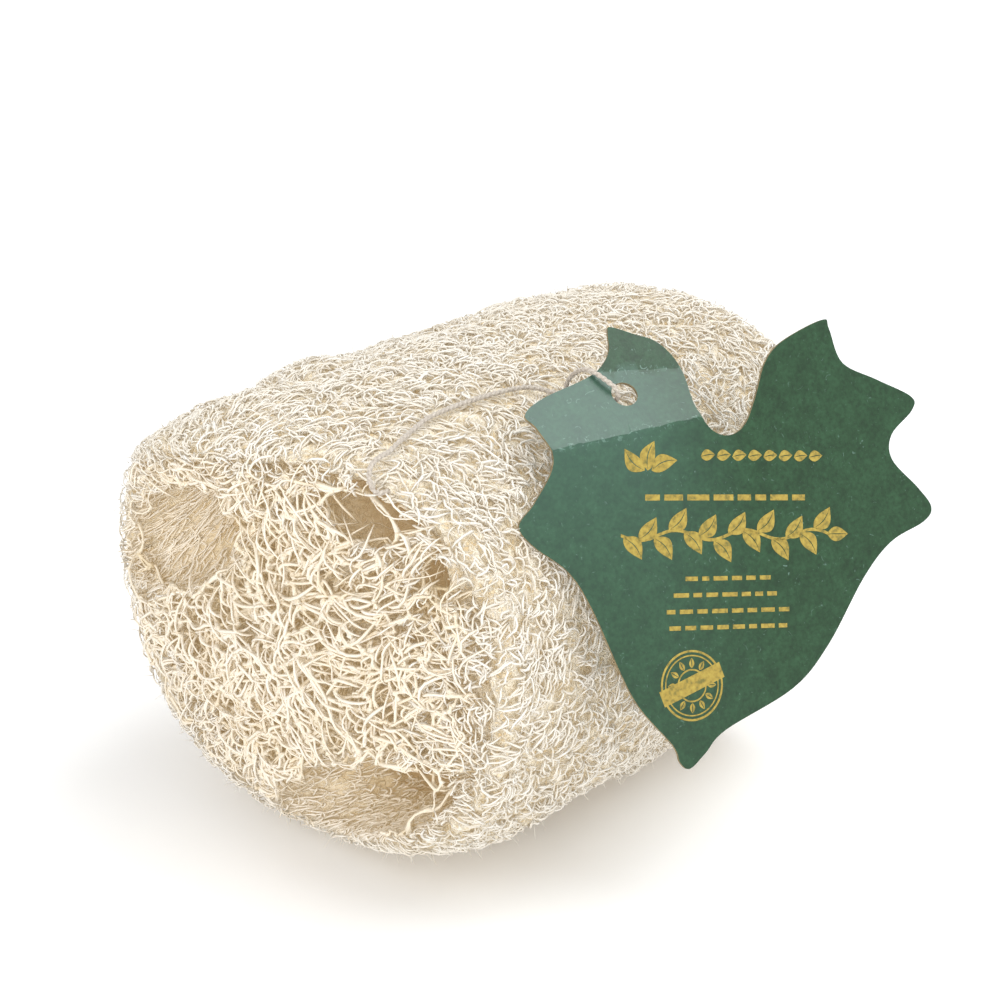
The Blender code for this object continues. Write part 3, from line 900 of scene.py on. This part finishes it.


# Fibre on the wall is bleached and greyish, and in the cuts warmer and browner; both glow faintly, as
# painted light in their shade.
wall_straw = fibre_material(
    "loofah_fibre_wall", 0.6, "#D6CCB8", 0.16,
    [(0.0, "#CCBFA7"), (0.3, "#D7CEBF"), (0.65, "#DFD9CF"), (1.0, "#E5E3DF")],
)
core_straw = fibre_material(
    "loofah_fibre_core", 0.55, "#DABE8E", 0.17,
    [(0.0, "#C6AC84"), (0.3, "#D6C7AA"), (0.65, "#E0D6C4"), (1.0, "#E6E0D6")],
)


def add_fibres(name, paths, radii, outwards, tone, straw=wall_straw, kept=slice(None)):
    """A piece of the kept fibres, with a ramp value for each ring that holds random variation and
    painted shade, riding on the sponge's body.
    """
    radii = radii[kept]
    points, faces = tubes(paths[kept], radii, outwards[kept])
    points[:, 2] = np.maximum(points[:, 2], FIBRES_OVER_FLOOR)
    made = add_mesh(name, points, faces, tone=np.repeat((tone[kept] + 0 * radii).ravel(), 3))
    made.data.materials.append(straw)
    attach(made, "root")
    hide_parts("sponge")


def around_way(turn):
    """The direction round the fruit at a turn."""
    return np.stack([0 * turn, -np.sin(turn), np.cos(turn)], -1)


def outward_way(turn):
    """The direction away from the fruit's axis at a turn."""
    return np.stack([0 * turn, np.cos(turn), np.sin(turn)], -1)


def face_outwards(angle, share, end):
    """The direction away from a cut, which leans out near the wall."""
    return unit(np.array([end, 0, 0]) + 0.4 * outward_way(angle) * share[..., None] ** 3)


def near_string(points, reach):
    """Whether places lie within reach of the string."""
    apart = [np.linalg.norm(points - place, axis=-1) for place in string_path[::2]]
    return np.min(apart, axis=0) < reach


def skin_point(angle, along, lift):
    """A point on the wall, which goes on over the rims where along passes -1 and 1."""
    end = np.sign(along)
    side = side_point(angle, np.clip(along, -1, 1), lift)
    face = face_point(angle, np.minimum(2 - np.abs(along), 1), end, lift)
    return np.where(np.abs(along)[..., None] < 1, side, face)


def skin_outwards(angle, along):
    """The direction away from the wall."""
    return unit(skin_point(angle, along, 0.001) - skin_point(angle, along, 0.0))


# Wall fibres: short curled fibres lie over each other in all directions, most of them across
# the fruit, and sink into the felt at both ends. They thin out where the wall turns into a cut.
turn, share, rng = spiral(WALL_CURLS, 21, 0.45)
turn = (turn + TOP_CROWDING * np.cos(turn - math.radians(30))) % (2 * math.pi)
along = SKIN_END * (2 * share - 1)
middles = skin_point(turn, along, 0.0)
heading = math.pi / 2 + 1.1 * waves(middles, 0.008, 27) + 0.5 * rng.normal(size=WALL_CURLS)
length = rng.uniform(*CURL_LENGTH, WALL_CURLS)
size = (WALL_CURLS, 1)
bend = either_way(rng, *CURL_BEND, size)
lengthwise, across = curls(heading, length, bend, CURL_RINGS, rng)
top = rng.uniform(*WALL_LIFT, size)
top = np.where(near_string(middles, 0.0022)[:, None], -0.0006, top)
arch = arched(CURL_RINGS)
along = along[:, None] + lengthwise / WALL_LENGTH
turn = turn[:, None] + across / WALL_LENGTH
paths = skin_point(turn, along, top - 0.0008 * arch)
ups = skin_outwards(turn, along)
radii = rng.uniform(*WALL_FIBRE_RADIUS, size) * (1 - 0.45 * arch**2)
# Painted shade: lower curls are darker and higher ones lighter, with a random part on top.
tone = 0.15 + np.interp(top, WALL_LIFT, (0.0, 0.4)) + rng.uniform(0, 0.3, size)
inside = left_open(paths.reshape(-1, 3), rng).reshape(WALL_CURLS, CURL_RINGS)
clear = ~inside.any(1) & ~near_string(paths, 0.0009).any(1)
turn = turn[:, CURL_RINGS // 2]
over = np.clip((np.abs(along[:, CURL_RINGS // 2]) - 0.99) / 0.22, 0, 1)
clear &= rng.uniform(size=WALL_CURLS) > over * (0.32 + 0.50 * np.sin(turn))
part = np.floor((turn % (2 * math.pi)) / (2 * math.pi) * 3).astype(int)
for number, name in enumerate(("wall_fibres_top", "wall_fibres_near", "wall_fibres_under")):
    add_fibres(name, paths, radii, ups, tone, kept=clear & (part == number))

# Whiskers: fine broken ends of the wall's own fibre stand off it and, more of them, off the rims,
# where the fruit was cut.
WHISKERS = 3400
WHISKER_LENGTH = (0.0009, 0.0027)
WHISKER_RADIUS = (0.00006, 0.0001)
turn = rng.uniform(0, 2 * math.pi, WHISKERS)
rim = rng.choice([-1.0, 1.0], WHISKERS) * rng.uniform(0.9, 1.1, WHISKERS)
along = np.where(rng.uniform(size=WHISKERS) < 0.4, rim, rng.uniform(-1.0, 1.0, WHISKERS))
feet = skin_point(turn, along, 0.0)
away = skin_outwards(turn, along)
clear = ~left_open(feet, rng) & ~near_string(feet, 0.003)
feet, away = feet[clear, None], away[clear, None]
size = (len(feet), 1, 1)
lean = unit(away + 0.9 * rng.normal(size=feet.shape))
aside = unit(rng.normal(size=feet.shape))
t = np.linspace(0, 1, 3)[None, :, None]
paths = feet + (lean * t + 0.35 * aside * t**2) * rng.uniform(*WHISKER_LENGTH, size)
radii = rng.uniform(*WHISKER_RADIUS, size[:2]) * (1 - 0.6 * t[..., 0])
add_fibres("wall_whiskers", paths, radii, away + 0 * paths, rng.uniform(0.5, 0.9, size[:2]))

# Core nets: inside the wall the fibres are coarser, run outwards from the axis, and stand in a
# loose lattice several millimetres deep, which bridges part of the near and the low chamber.
for name, end in (("front", -1.0), ("back", 1.0)):
    count = CORE_NODES[name]
    turn, share, rng = spiral(count, 41 + int(end), 0.4)
    share = CORE_SHARE * np.sqrt(share)
    below = rng.uniform(0, 1, count) ** 1.5
    nodes = face_point(turn, share, end, 0.0008 - CORE_DEPTH * below)
    clear = ~left_open(nodes, rng)
    nodes, turn, below, share = nodes[clear], turn[clear], below[clear], share[clear]
    outwards = face_outwards(turn, share, end)
    tilt = (0.7 + 1.6 * (1 - share[:, None]) ** 3) * waves(nodes, 0.011, 43)[:, None]
    flows = outward_way(turn) * np.cos(tilt) + around_way(turn) * np.sin(tilt)
    # With distances from the axis squeezed together, more of the net's links run outwards
    arm = nodes[:, 1:] - (0, AXIS_HEIGHT)
    radial = np.linalg.norm(arm, axis=1, keepdims=True)
    squeezed = np.concatenate([nodes[:, :1] * 0.9, arm * (radial / 0.03) ** -0.25], 1)
    index = nearest(squeezed, NET_NEIGHBOURS)
    pairs = net_pairs(squeezed, index, 0.95)
    reach = np.linalg.norm(nodes[pairs[:, 0]] - nodes[pairs[:, 1]], axis=1)
    pairs = pairs[reach < LONGEST_LINK]
    paths, radii, ups = net_fibres(nodes, outwards, flows, pairs, CORE_FIBRE_RADIUS, 5, 1.5, rng)
    radii *= 1.15 - 0.6 * share[pairs].mean(1)[:, None] ** 2
    # Painted shade: fibres deeper in the lattice are darker, with a random part on top.
    tone = 0.6 - 0.5 * below[pairs].mean(1)[:, None] + rng.uniform(0, 0.3, (len(pairs), 1))
    add_fibres("core_net_" + name, paths, radii, ups, tone, core_straw)

    # Core strands: longer fibres, which grew as one with the net, wind through the lattice from
    # node to node.
    starts = rng.integers(0, len(nodes), CORE_STRANDS[name])
    routes = wander(nodes, index, flows, starts, 5, 0.5, rng)
    paths, radii, ups = strand_fibres(nodes, outwards, routes, CORE_FIBRE_RADIUS, 2, 0.00035, rng)
    # Painted shade: strands deeper in the lattice are darker, with a random part on top.
    tone = 0.75 - 0.45 * below[routes].mean(1)[:, None] + rng.uniform(0, 0.25, (len(routes), 1))
    kept = np.linalg.norm(np.diff(nodes[routes], axis=1), axis=-1).max(1) < LONGEST_STEP
    add_fibres("core_strands_" + name, paths, radii, ups, tone, core_straw, kept)

    # Core curls: strands cut through with the fruit arch out of the lattice in locks, and end
    # free or dive back in.
    count = CORE_CURLS[name]
    size = (count, 1)
    turn, share, rng = spiral(count, 61 + int(end), 0.45)
    share = (0.88 + 0.07 * np.sin(turn)) * np.sqrt(share)
    middles = face_point(turn, share, end, 0.0)
    lock = 1.1 * waves(middles, 0.013, 47) + 0.3 * rng.normal(size=count)
    length = rng.uniform(*CORE_CURL_LENGTH, count)
    bend = either_way(rng, 0.4, 1.9, size)
    flat = curls(turn + lock, length, bend, CORE_CURL_RINGS, rng)
    y = middles[:, 1, None] + flat[0]
    z = middles[:, 2, None] - AXIS_HEIGHT + flat[1]
    turn = np.arctan2(z, y)
    share = np.hypot(y, z) / wall_radius(turn, end)
    arch = arched(CORE_CURL_RINGS)
    top = 0.0014 - 0.0042 * rng.uniform(0, 1, size) ** 1.6
    paths = face_point(turn, np.minimum(share, 0.99), end, top - 0.0030 * arch)
    radii = rng.uniform(*CORE_CURL_RADIUS, size) * (1 - 0.5 * arch**2) * (1.15 - 0.5 * share**2)
    # Painted shade: curls lower in the lattice are darker and higher ones lighter, with a random part
    # on top.
    tone = 0.35 + np.interp(top, (-0.0028, 0.0014), (0.0, 0.4)) + rng.uniform(0, 0.25, size)
    ups = face_outwards(turn, share, end)
    inside = left_open(paths.reshape(-1, 3), rng).reshape(count, CORE_CURL_RINGS)
    kept = (inside.sum(1) < 3) & (share.max(1) < 1.0)
    add_fibres("core_curls_" + name, paths, radii, ups, tone, core_straw, kept)

# Chamber fibres: the walls of the seed chambers are smooth felt, in which fine strands of the
# same fibre run along the fruit.
CHAMBER_STRANDS = {"far": 800, "near": 220, "low": 800}
CHAMBER_STRAND_LENGTH = (0.003, 0.010)
CHAMBER_STRAND_RADIUS = (0.00006, 0.00015)


def cut_beside(name, around):
    """X of the front cut where a seed chamber's wall meets it."""
    return front_cut(chamber_wall(name, -HALF_LENGTH + 0 * around, around))


def joined(parts):
    """Arrays of several parts set end to end."""
    return (np.concatenate(part) for part in zip(*parts))


rng = np.random.default_rng(51)
t = np.linspace(-0.5, 0.5, 6)[None]
parts = []
for name, count in CHAMBER_STRANDS.items():
    size = (count, 1)
    slant = rng.normal(size=size)
    around = rng.uniform(0, 2 * math.pi, size) + 0.25 * slant * t + 0.1 * np.sin(t * 7 + 6 * slant)
    run = t * rng.uniform(*CHAMBER_STRAND_LENGTH, size)
    cut = cut_beside(name, around).max(1, keepdims=True)
    front = cut + 0.001 - run.min(1, keepdims=True) + 0.045 * rng.uniform(0, 1, size) ** 1.5
    back = HALF_LENGTH - rng.uniform(0.008, 0.040, size)
    x = np.where(rng.uniform(size=size) < 0.75, front, back) + run
    paths = chamber_wall(name, x, around, 0.0001)
    ups = unit(((0, *chamber_middle(name)) - paths) * (0, 1, 1))
    thick = rng.uniform(*CHAMBER_STRAND_RADIUS, size) + 0 * x
    tone = rng.uniform(0.25, 0.95, size)
    kept = under_wall(paths).min(1) > 0.0003
    parts.append((paths[kept], thick[kept], ups[kept], tone[kept]))
add_fibres("chamber_fibres", *joined(parts), core_straw)

# Mouth curls: towards the front cut the smooth chamber walls turn into the wall's curled fibres,
# the thicker the nearer the cut, so that the two mouths have no sharp border.
MOUTH_CURLS = {"far": 1150, "low": 1650}
MOUTH_CURLS_DEEP = 0.019
MOUTH_CURL_RADIUS = (0.00015, 0.00028)
MOUTH_HALF_WIDTH = 0.018
parts = []
for name, count in MOUTH_CURLS.items():
    size = (count, 1)
    around = rng.uniform(0, 2 * math.pi, size)
    crowding = {"far": 0.65 * np.sin(around), "low": -0.5 * np.cos(around)}
    around = around + crowding[name]
    cut = cut_beside(name, around)
    heading = rng.uniform(0, 2 * math.pi, count)
    bend = either_way(rng, *CURL_BEND, size)
    length = rng.uniform(*CURL_LENGTH, count)
    lengthwise, across = curls(heading, length, bend, CURL_RINGS, rng)
    behind = MOUTH_CURLS_DEEP * rng.uniform(0, 1, size) ** 1.5
    x = cut + behind + lengthwise - lengthwise.min(1, keepdims=True)
    arch = arched(CURL_RINGS)
    top = rng.uniform(0.0001, 0.0010, size)
    paths = chamber_wall(name, x, around + across / MOUTH_HALF_WIDTH, top - 0.0009 * arch)
    ups = unit(((0, *MOUTHS[name][0]) - paths) * (0, 1, 1))
    thick = rng.uniform(*MOUTH_CURL_RADIUS, size) * (1 - 0.45 * arch**2)
    # Painted light and shade: the low mouth's curls are lighter throughout, standing in for the light
    # on the lower front, and higher curls are lighter than lower ones; a random part is added.
    tone = (0.65 if name == "low" else 0.5) + 300 * top + rng.uniform(0, 0.3, size)
    kept = under_wall(paths).min(1) > 0.0002
    parts.append((paths[kept], thick[kept], ups[kept], tone[kept]))
add_fibres("mouth_curls", *joined(parts), core_straw)


# Tag: a leaf cut from 0.6 mm green card, brown where its edge is cut, folded at two creases
# beside its punched hole so that the band between them leans back and catches the light.
LEAF_OUTLINE_MM = [
    (1.4, 13.6), (5.5, 11.6), (10.0, 9.0), (12.9, 3.5), (12.6, -5.0), (14.5, -9.6),
    (18.1, -11.3), (21.8, -9.7), (25.0, -4.7), (28.0, 1.0), (32.5, 4.5), (42.0, 7.4),
    (43.2, 5.5), (45.0, -1.2), (52.2, -5.4), (59.6, -9.7), (59.3, -12.4), (53.7, -16.4),
    (53.0, -21.1), (57.9, -27.3), (60.3, -31.5), (58.0, -34.0), (49.9, -36.6),
    (42.6, -42.3), (32.7, -53.4), (23.7, -60.0), (8.1, -64.7), (3.1, -68.0),
    (-0.6, -70.1), (-2.4, -68.6), (-3.4, -65.1), (-9.8, -55.2), (-14.9, -38.3),
    (-18.4, -30.7), (-24.3, -25.0), (-26.4, -21.0), (-22.5, -17.3), (-17.8, -11.0),
    (-18.9, -4.0), (-20.2, -0.8), (-15.7, 2.0), (-5.0, 5.0), (-0.5, 8.5), (0.6, 12.6),
]  # fmt: skip
# Ends of each crease, in millimetres, and the angle by which the card turns there
CREASES = [
    (((-3.1, 5.5), (13.1, 3.5)), math.radians(15)),
    (((-17.4, -8.7), (12.2, -7.2)), math.radians(-28)),
]
CREASE_WIDTH = 0.00035
# X of the valley between the two upper lobes, where the creases end
VALLEY_X = 0.0165
TAG_TURN = math.radians(-22)
TAG_LEAN = math.radians(22)
TAG_PLACE = np.array([-0.0088, -0.0450, 0.0993])
CARD_THICKNESS = 0.0006
HOLE_RADIUS = 0.0025
CARD_GRID = 0.0021
CARD_CURL = 0.0005


def rounded_loop(points, steps):
    """Closed spline through the points, with a number of steps from one to the next."""
    before, after, beyond = (np.roll(points, shift, 0)[:, None] for shift in (1, -1, -2))
    t = (np.arange(steps) / steps)[None, :, None]
    return spline(before, points[:, None], after, beyond, t).reshape(-1, 2)


def crease_height(flat, crease):
    """Distance of flat places above a crease, and the crease's start and direction."""
    first = np.array([*crease[0], 0]) / 1000
    along = unit(np.array([*crease[1], 0]) / 1000 - first)
    upwards = np.array([-along[1], along[0], 0])
    return (flat - first) @ upwards, first, along


def spin(first, second, angle):
    """Two coordinates turned by an angle from the first to the second."""
    return (
        first * math.cos(angle) - second * math.sin(angle),
        first * math.sin(angle) + second * math.cos(angle),
    )


def on_card(flat, height):
    """Flat places on the card, at a height above its middle, as they lie once the card is
    curled, folded and hung: what is above a crease turns about it by the crease's angle."""
    curl = CARD_CURL * np.sin(flat[:, 0] / 0.017) * np.cos(flat[:, 1] / 0.024)
    points = np.column_stack([flat, curl + height])
    for crease, angle in CREASES:
        above, first, along = crease_height(points, crease)
        arm = points - first
        turned = (
            arm * math.cos(angle)
            + np.cross(along, arm) * math.sin(angle)
            + along * (arm @ along)[:, None] * (1 - math.cos(angle))
            + first
        )
        moves = (points[:, 0] < VALLEY_X) & (above > 0)
        points = np.where(moves[:, None], turned, points)
    x, y, z = points.T
    y, z = spin(y, z, math.pi / 2 - TAG_LEAN)
    x, y = spin(x, y, TAG_TURN)
    return np.stack([x, y, z], -1) + TAG_PLACE


def card_triangles():
    """Flat places and triangles of the card: a Delaunay net of the outline, the hole, the
    creases and a grid between them."""
    outline = rounded_loop(np.array(LEAF_OUTLINE_MM) / 1000, 7)
    around = np.arange(36) * math.pi / 18
    hole = HOLE_RADIUS * np.stack([np.cos(around), np.sin(around)], -1)
    places, edges = [outline, hole], []
    for start, count in ((0, len(outline)), (len(outline), len(hole))):
        ring = np.arange(count)
        edges.append(np.stack([start + ring, start + (ring + 1) % count], -1))
    for crease, _ in CREASES:
        ends = np.array(crease) / 1000
        places.append(ends[0] + (ends[1] - ends[0]) * np.linspace(0.0, 1, 16)[:, None])
    grid = np.mgrid[-0.027:0.061:CARD_GRID, -0.071:0.014:CARD_GRID].reshape(2, -1).T
    places.append(grid + np.random.default_rng(61).uniform(-0.0004, 0.0004, grid.shape))
    found = delaunay_2d_cdt(
        [Vector(place) for place in np.concatenate(places)],
        np.concatenate(edges).tolist(), [], 2, 1e-7,
    )
    flat, triangles = np.array(found[0]), np.array(found[2])
    middles = flat[triangles].mean(1)
    triangles = triangles[np.linalg.norm(middles, axis=1) > HOLE_RADIUS * 0.99]
    kept, places = np.unique(triangles, return_inverse=True)
    return flat[kept], places.reshape(-1, 3)


flat, triangles = card_triangles()
sides = np.concatenate([triangles[:, [0, 1]], triangles[:, [1, 2]], triangles[:, [2, 0]]]).tolist()
used = {(a, b) for a, b in sides}
rim = np.array([(a, b) for a, b in sides if (b, a) not in used])
count = len(flat)
points = np.concatenate([on_card(flat, CARD_THICKNESS / 2), on_card(flat, -CARD_THICKNESS / 2)])
strip = np.stack([rim[:, 1], rim[:, 0], rim[:, 0] + count, rim[:, 1] + count], -1)
level = np.column_stack([flat, 0 * flat[:, 0]])
upper, lower = (crease_height(level, crease)[0] for crease, _ in CREASES)
worn = np.maximum(bell(upper, 0, CREASE_WIDTH), bell(lower, 0, CREASE_WIDTH)) * (flat[:, 0] < VALLEY_X)
# Painted sheen: a bluish-green haze on the band between the creases, and fading away below the lower
# one, left of the valley.
faded = np.where(lower > 0, 0.16 * (upper < 0), 0.14 * np.exp(np.minimum(lower, 0) / 0.030))
faded = faded * np.clip((VALLEY_X + 0.005 - flat[:, 0]) / 0.022, 0, 1)
tag = add_mesh(
    "tag_card", points, [triangles, triangles[:, ::-1] + count, strip],
    worn=np.tile(worn, 2), faded=np.tile(faded, 2),
)
tag.data.set_sharp_from_angle(angle=math.radians(9))
slots = np.repeat(np.array([0, 1], np.int32), [2 * len(triangles), len(rim)])
tag.data.polygons.foreach_set("material_index", slots)


# Uncoated card: a mottled deep green with darker pulp flecks and fine pale scuffs, rubbed pale where
# it is creased, with a painted sheen of bluish green between the creases and below them, and a sheen
# from its shader as well.
def card_material():
    made, tree, shader = new_material("green_card", Roughness=0.35, Specular_IOR_Level=0.54)
    place = object_place(tree)
    pulp = noise(tree, place, 1300, 2)
    both = maths(tree, "MULTIPLY", noise(tree, place, 330, 5), pulp)
    colour = colour_ramp(tree, both, [(0.08, "#17321C"), (0.25, "#214127"), (0.5, "#2C5034")])
    scuff = noise(tree, place, 500, 4, 3)
    rubbed = maths(tree, "MULTIPLY_ADD", point_value(tree, "worn"), 0.12, scuff)
    pale = map_range(tree, rubbed, 0.66, 0.90)
    # The painted sheen mixes in a pale bluish green, then crease wear and scuffs a pale green.
    for share, tint in ((point_value(tree, "faded"), "#7FA79F"), (pale, "#7C9C90")):
        links = [("Factor", share), (6, colour), (7, linear(tint))]
        colour = add_node(tree, "Mix", links, data_type="RGBA").outputs[2]
    cover(tree, shader, colour, pulp, 0.25)
    return made


# The cut edge shows the card's brown pulp, lighter and darker along its length.
def cut_edge_material():
    made, tree, shader = new_material("card_cut_edge", Roughness=0.85)
    pulp = noise(tree, object_place(tree), 900, 3)
    cover(tree, shader, colour_ramp(tree, pulp, [(0.3, "#6F6247"), (0.7, "#9C8C6B")]))
    return made


tag.data.materials.append(card_material())
tag.data.materials.append(cut_edge_material())
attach(tag, "root")
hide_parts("tag")

# Print: plain ochre ornament laid on the card in a thin film of ink: a garland of leaves, a
# smaller one above it, rows of dashes, and a ring with a band across it.
PRINT_MIDDLE = np.array([0.0147, -0.0294])
PRINT_TURN = math.radians(-9)
INK_HEIGHTS = (CARD_THICKNESS / 2 + 0.00001, CARD_THICKNESS / 2 + 0.00003)
GARLAND_WAVE = 0.9
GARLAND_PITCH = 0.43
RING_PLACE = (-8.0, -27.5)
# Y, length and height of each row of dashes, and its shortest dash
DASH_ROWS = [
    (6.9, 34, 1.1, 2.2), (-8.0, 18, 0.8, 1.4), (-11.0, 23, 0.8, 1.4), (-14.0, 26, 0.8, 1.4),
    (-17.0, 25, 0.8, 1.4),
]  # fmt: skip
DASH_GAP = 0.9
ink_points, ink_faces = [], []


def ways(angle):
    """Unit steps at an angle on the card, and square to it."""
    return np.array([[math.cos(angle), math.sin(angle)], [-math.sin(angle), math.cos(angle)]])


def ink_strip(left, right, closed=False):
    """Adds a closed film of ink between two edges given as places in print millimetres."""
    left, right = (edge / 1000 @ ways(PRINT_TURN) + PRINT_MIDDLE for edge in (left, right))
    low, high = INK_HEIGHTS
    corners = ((left, low), (right, low), (right, high), (left, high))
    rings = np.stack([on_card(*corner) for corner in corners], 1)
    start, count = sum(map(len, ink_points)), len(rings)
    faces = [grid_faces(count, 4)]
    end = count * 4 - 4
    if closed:
        corner = np.arange(4)
        beside = (corner + 1) % 4
        faces.append(np.stack([end + corner, end + beside, beside, corner], -1))
    else:
        faces.append(np.array([[3, 2, 1, 0], [end, end + 1, end + 2, end + 3]]))
    ink_points.append(rings.reshape(-1, 3))
    ink_faces.extend(face + start for face in faces)


def ink_leaf(x, y, heading, length, width, bend=0.12):
    """A leaf whose half width is a sine along it, a little bent, with a slit for its midrib."""
    t = np.linspace(0.0, 1, 13)
    way, across = ways(heading)
    bow = (bend * length * np.sin(math.pi * t))[:, None] * across
    spine = np.array([x, y]) + t[:, None] * length * way + bow
    half = 0.5 * width * np.sin(math.pi * t**0.8)[:, None] * across
    slit = 0.09 * np.sin(math.pi * t)[:, None] * across
    ink_strip(spine + slit + half, spine + slit)
    ink_strip(spine - slit, spine - slit - half)


def ink_ring(radius, stroke):
    """A stroke all the way round the ring's place."""
    angle = np.linspace(0.0, 2 * math.pi, 49)[:-1, None]
    spoke, middle = np.hstack([np.cos(angle), np.sin(angle)]), np.array(RING_PLACE)
    ink_strip(middle + spoke * (radius + stroke / 2), middle + spoke * (radius - stroke / 2), True)


def ink_bar(x, y, length, height, lean=0.0):
    """A straight bar with its middle at a place."""
    way, across = ways(lean)
    ends = np.array([x, y]) + np.array([[-length / 2], [length / 2]]) * way
    ink_strip(ends + across * height / 2, ends - across * height / 2)


rng = np.random.default_rng(71)
stem = np.linspace(-22, 22, 45)
wave = GARLAND_WAVE * np.sin(stem * GARLAND_PITCH)
ink_strip(np.stack([stem, wave + 0.3], -1), np.stack([stem, wave - 0.3], -1))
for index, x in enumerate(np.linspace(-21.5, 18.5, 14)):
    way = 1 if index % 2 else -1
    foot = GARLAND_WAVE * math.sin(x * GARLAND_PITCH) + 0.2 * way
    ink_leaf(x, foot, way * math.radians(48), 5.4, 3.0, -0.12 * way)
ink_leaf(21.5, 0.0, 0.0, 4.6, 2.6, 0.0)
for x, heading in ((-15.6, 20), (-16.4, 75), (-17.0, 135)):
    ink_leaf(x, 11.8, math.radians(heading), 5.6, 2.9)
for x in np.arange(-5.5, 20.5, 3.3):
    ink_leaf(x, 14.4, math.radians(8), 3.0, 1.9, 0.05)
for y, length, height, shortest in DASH_ROWS:
    x = -length / 2
    while x < length / 2 - shortest:
        dash = min(shortest * rng.uniform(1.0, 2.4), length / 2 - x)
        ink_bar(x + dash / 2, y, dash, height)
        x += dash + DASH_GAP
for radius, stroke in ((6.3, 0.4), (5.5, 0.25), (2.9, 0.3)):
    ink_ring(radius, stroke)
for spoke in np.radians(np.arange(0, 360, 30)):
    foot = np.array(RING_PLACE) + 3.2 * ways(spoke)[0]
    ink_leaf(*foot, spoke, 1.9, 0.9, 0.0)
ink_bar(-8.0, -27.3, 13.6, 3.0, math.radians(22))
ink = add_mesh("tag_print", np.concatenate(ink_points), ink_faces, smooth=False)


# Ochre ink sinks unevenly into the card, so its tone breaks up a little.
def ink_material():
    made, tree, shader = new_material("ochre_ink", Roughness=0.6)
    sunk = noise(tree, object_place(tree), 1100, 3)
    stops = [(0.3, "#70692F"), (0.48, "#9C8537"), (0.7, "#AD9843")]
    cover(tree, shader, colour_ramp(tree, sunk, stops))
    return made


ink.data.materials.append(ink_material())
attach(ink, "root")
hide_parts("tag")


# Floor and light: a pale sheet of matt paper and soft light from above, the left and the front.
FLOOR_HALF = 3.0


def area_light(name, size, energy, place, aim, tint=(1, 1, 1)):
    """A square soft light at a place, turned to its aim."""
    light = bpy.data.lights.new(name, "AREA")
    light.size = size
    light.energy = energy
    light.color = tint
    made = bpy.data.objects.new(name, light)
    made.location = place
    made.rotation_mode = "QUATERNION"
    made.rotation_quaternion = (Vector(aim) - Vector(place)).to_track_quat("-Z", "Y")
    bpy.context.scene.collection.objects.link(made)


# The paper glows faintly, more and more some way off, so that it stays pale where the lights
# don't reach, and less again towards its far edge, which leaves no hard horizon.
def floor_material():
    made, tree, shader = new_material(
        "pale_floor",
        Base_Color=linear("#FBFBFB"),
        Roughness=0.9,
        Specular_IOR_Level=0.1,
        Emission_Color=linear("#FFFFFF"),
    )
    links = [("Vector", object_place(tree))]
    apart = add_node(tree, "VectorMath", links, operation="LENGTH").outputs["Value"]
    glow = map_range(tree, apart, 0.25, 1.1, 0.0, 0.28)
    away = map_range(tree, apart, 1.4, 2.9, 1.0, 0.0)
    strength = maths(tree, "MULTIPLY_ADD", glow, away, 0.06)
    tree.links.new(shader.inputs["Emission Strength"], strength)
    return made


floor_corners = FLOOR_HALF * np.array([[-1.0, -1, 0], [1, -1, 0], [1, 1, 0], [-1, 1, 0]])
floor = add_mesh("floor", floor_corners, np.array([[0, 1, 2, 3]]), smooth=False)
floor.data.materials.append(floor_material())
area_light("key", 1.4, 8.2, (-1.3, -0.6, 0.8), (0, 0, 0.05))
area_light("fill", 1.2, 7, (-1.2, -0.55, 0.14), (0, 0, 0.03))
area_light("top", 0.9, 8.5, (0.25, -0.42, 1.05), (0, 0, 0.05), (0.94, 0.98, 1))
world = bpy.data.worlds.new("studio")
world.use_nodes = True
background = world.node_tree.nodes["Background"]
background.inputs["Color"].default_value = (1, 1, 1, 1)
background.inputs["Strength"].default_value = 0.7
bpy.context.scene.world = world
bpy.context.scene.view_settings.view_transform = "Standard"
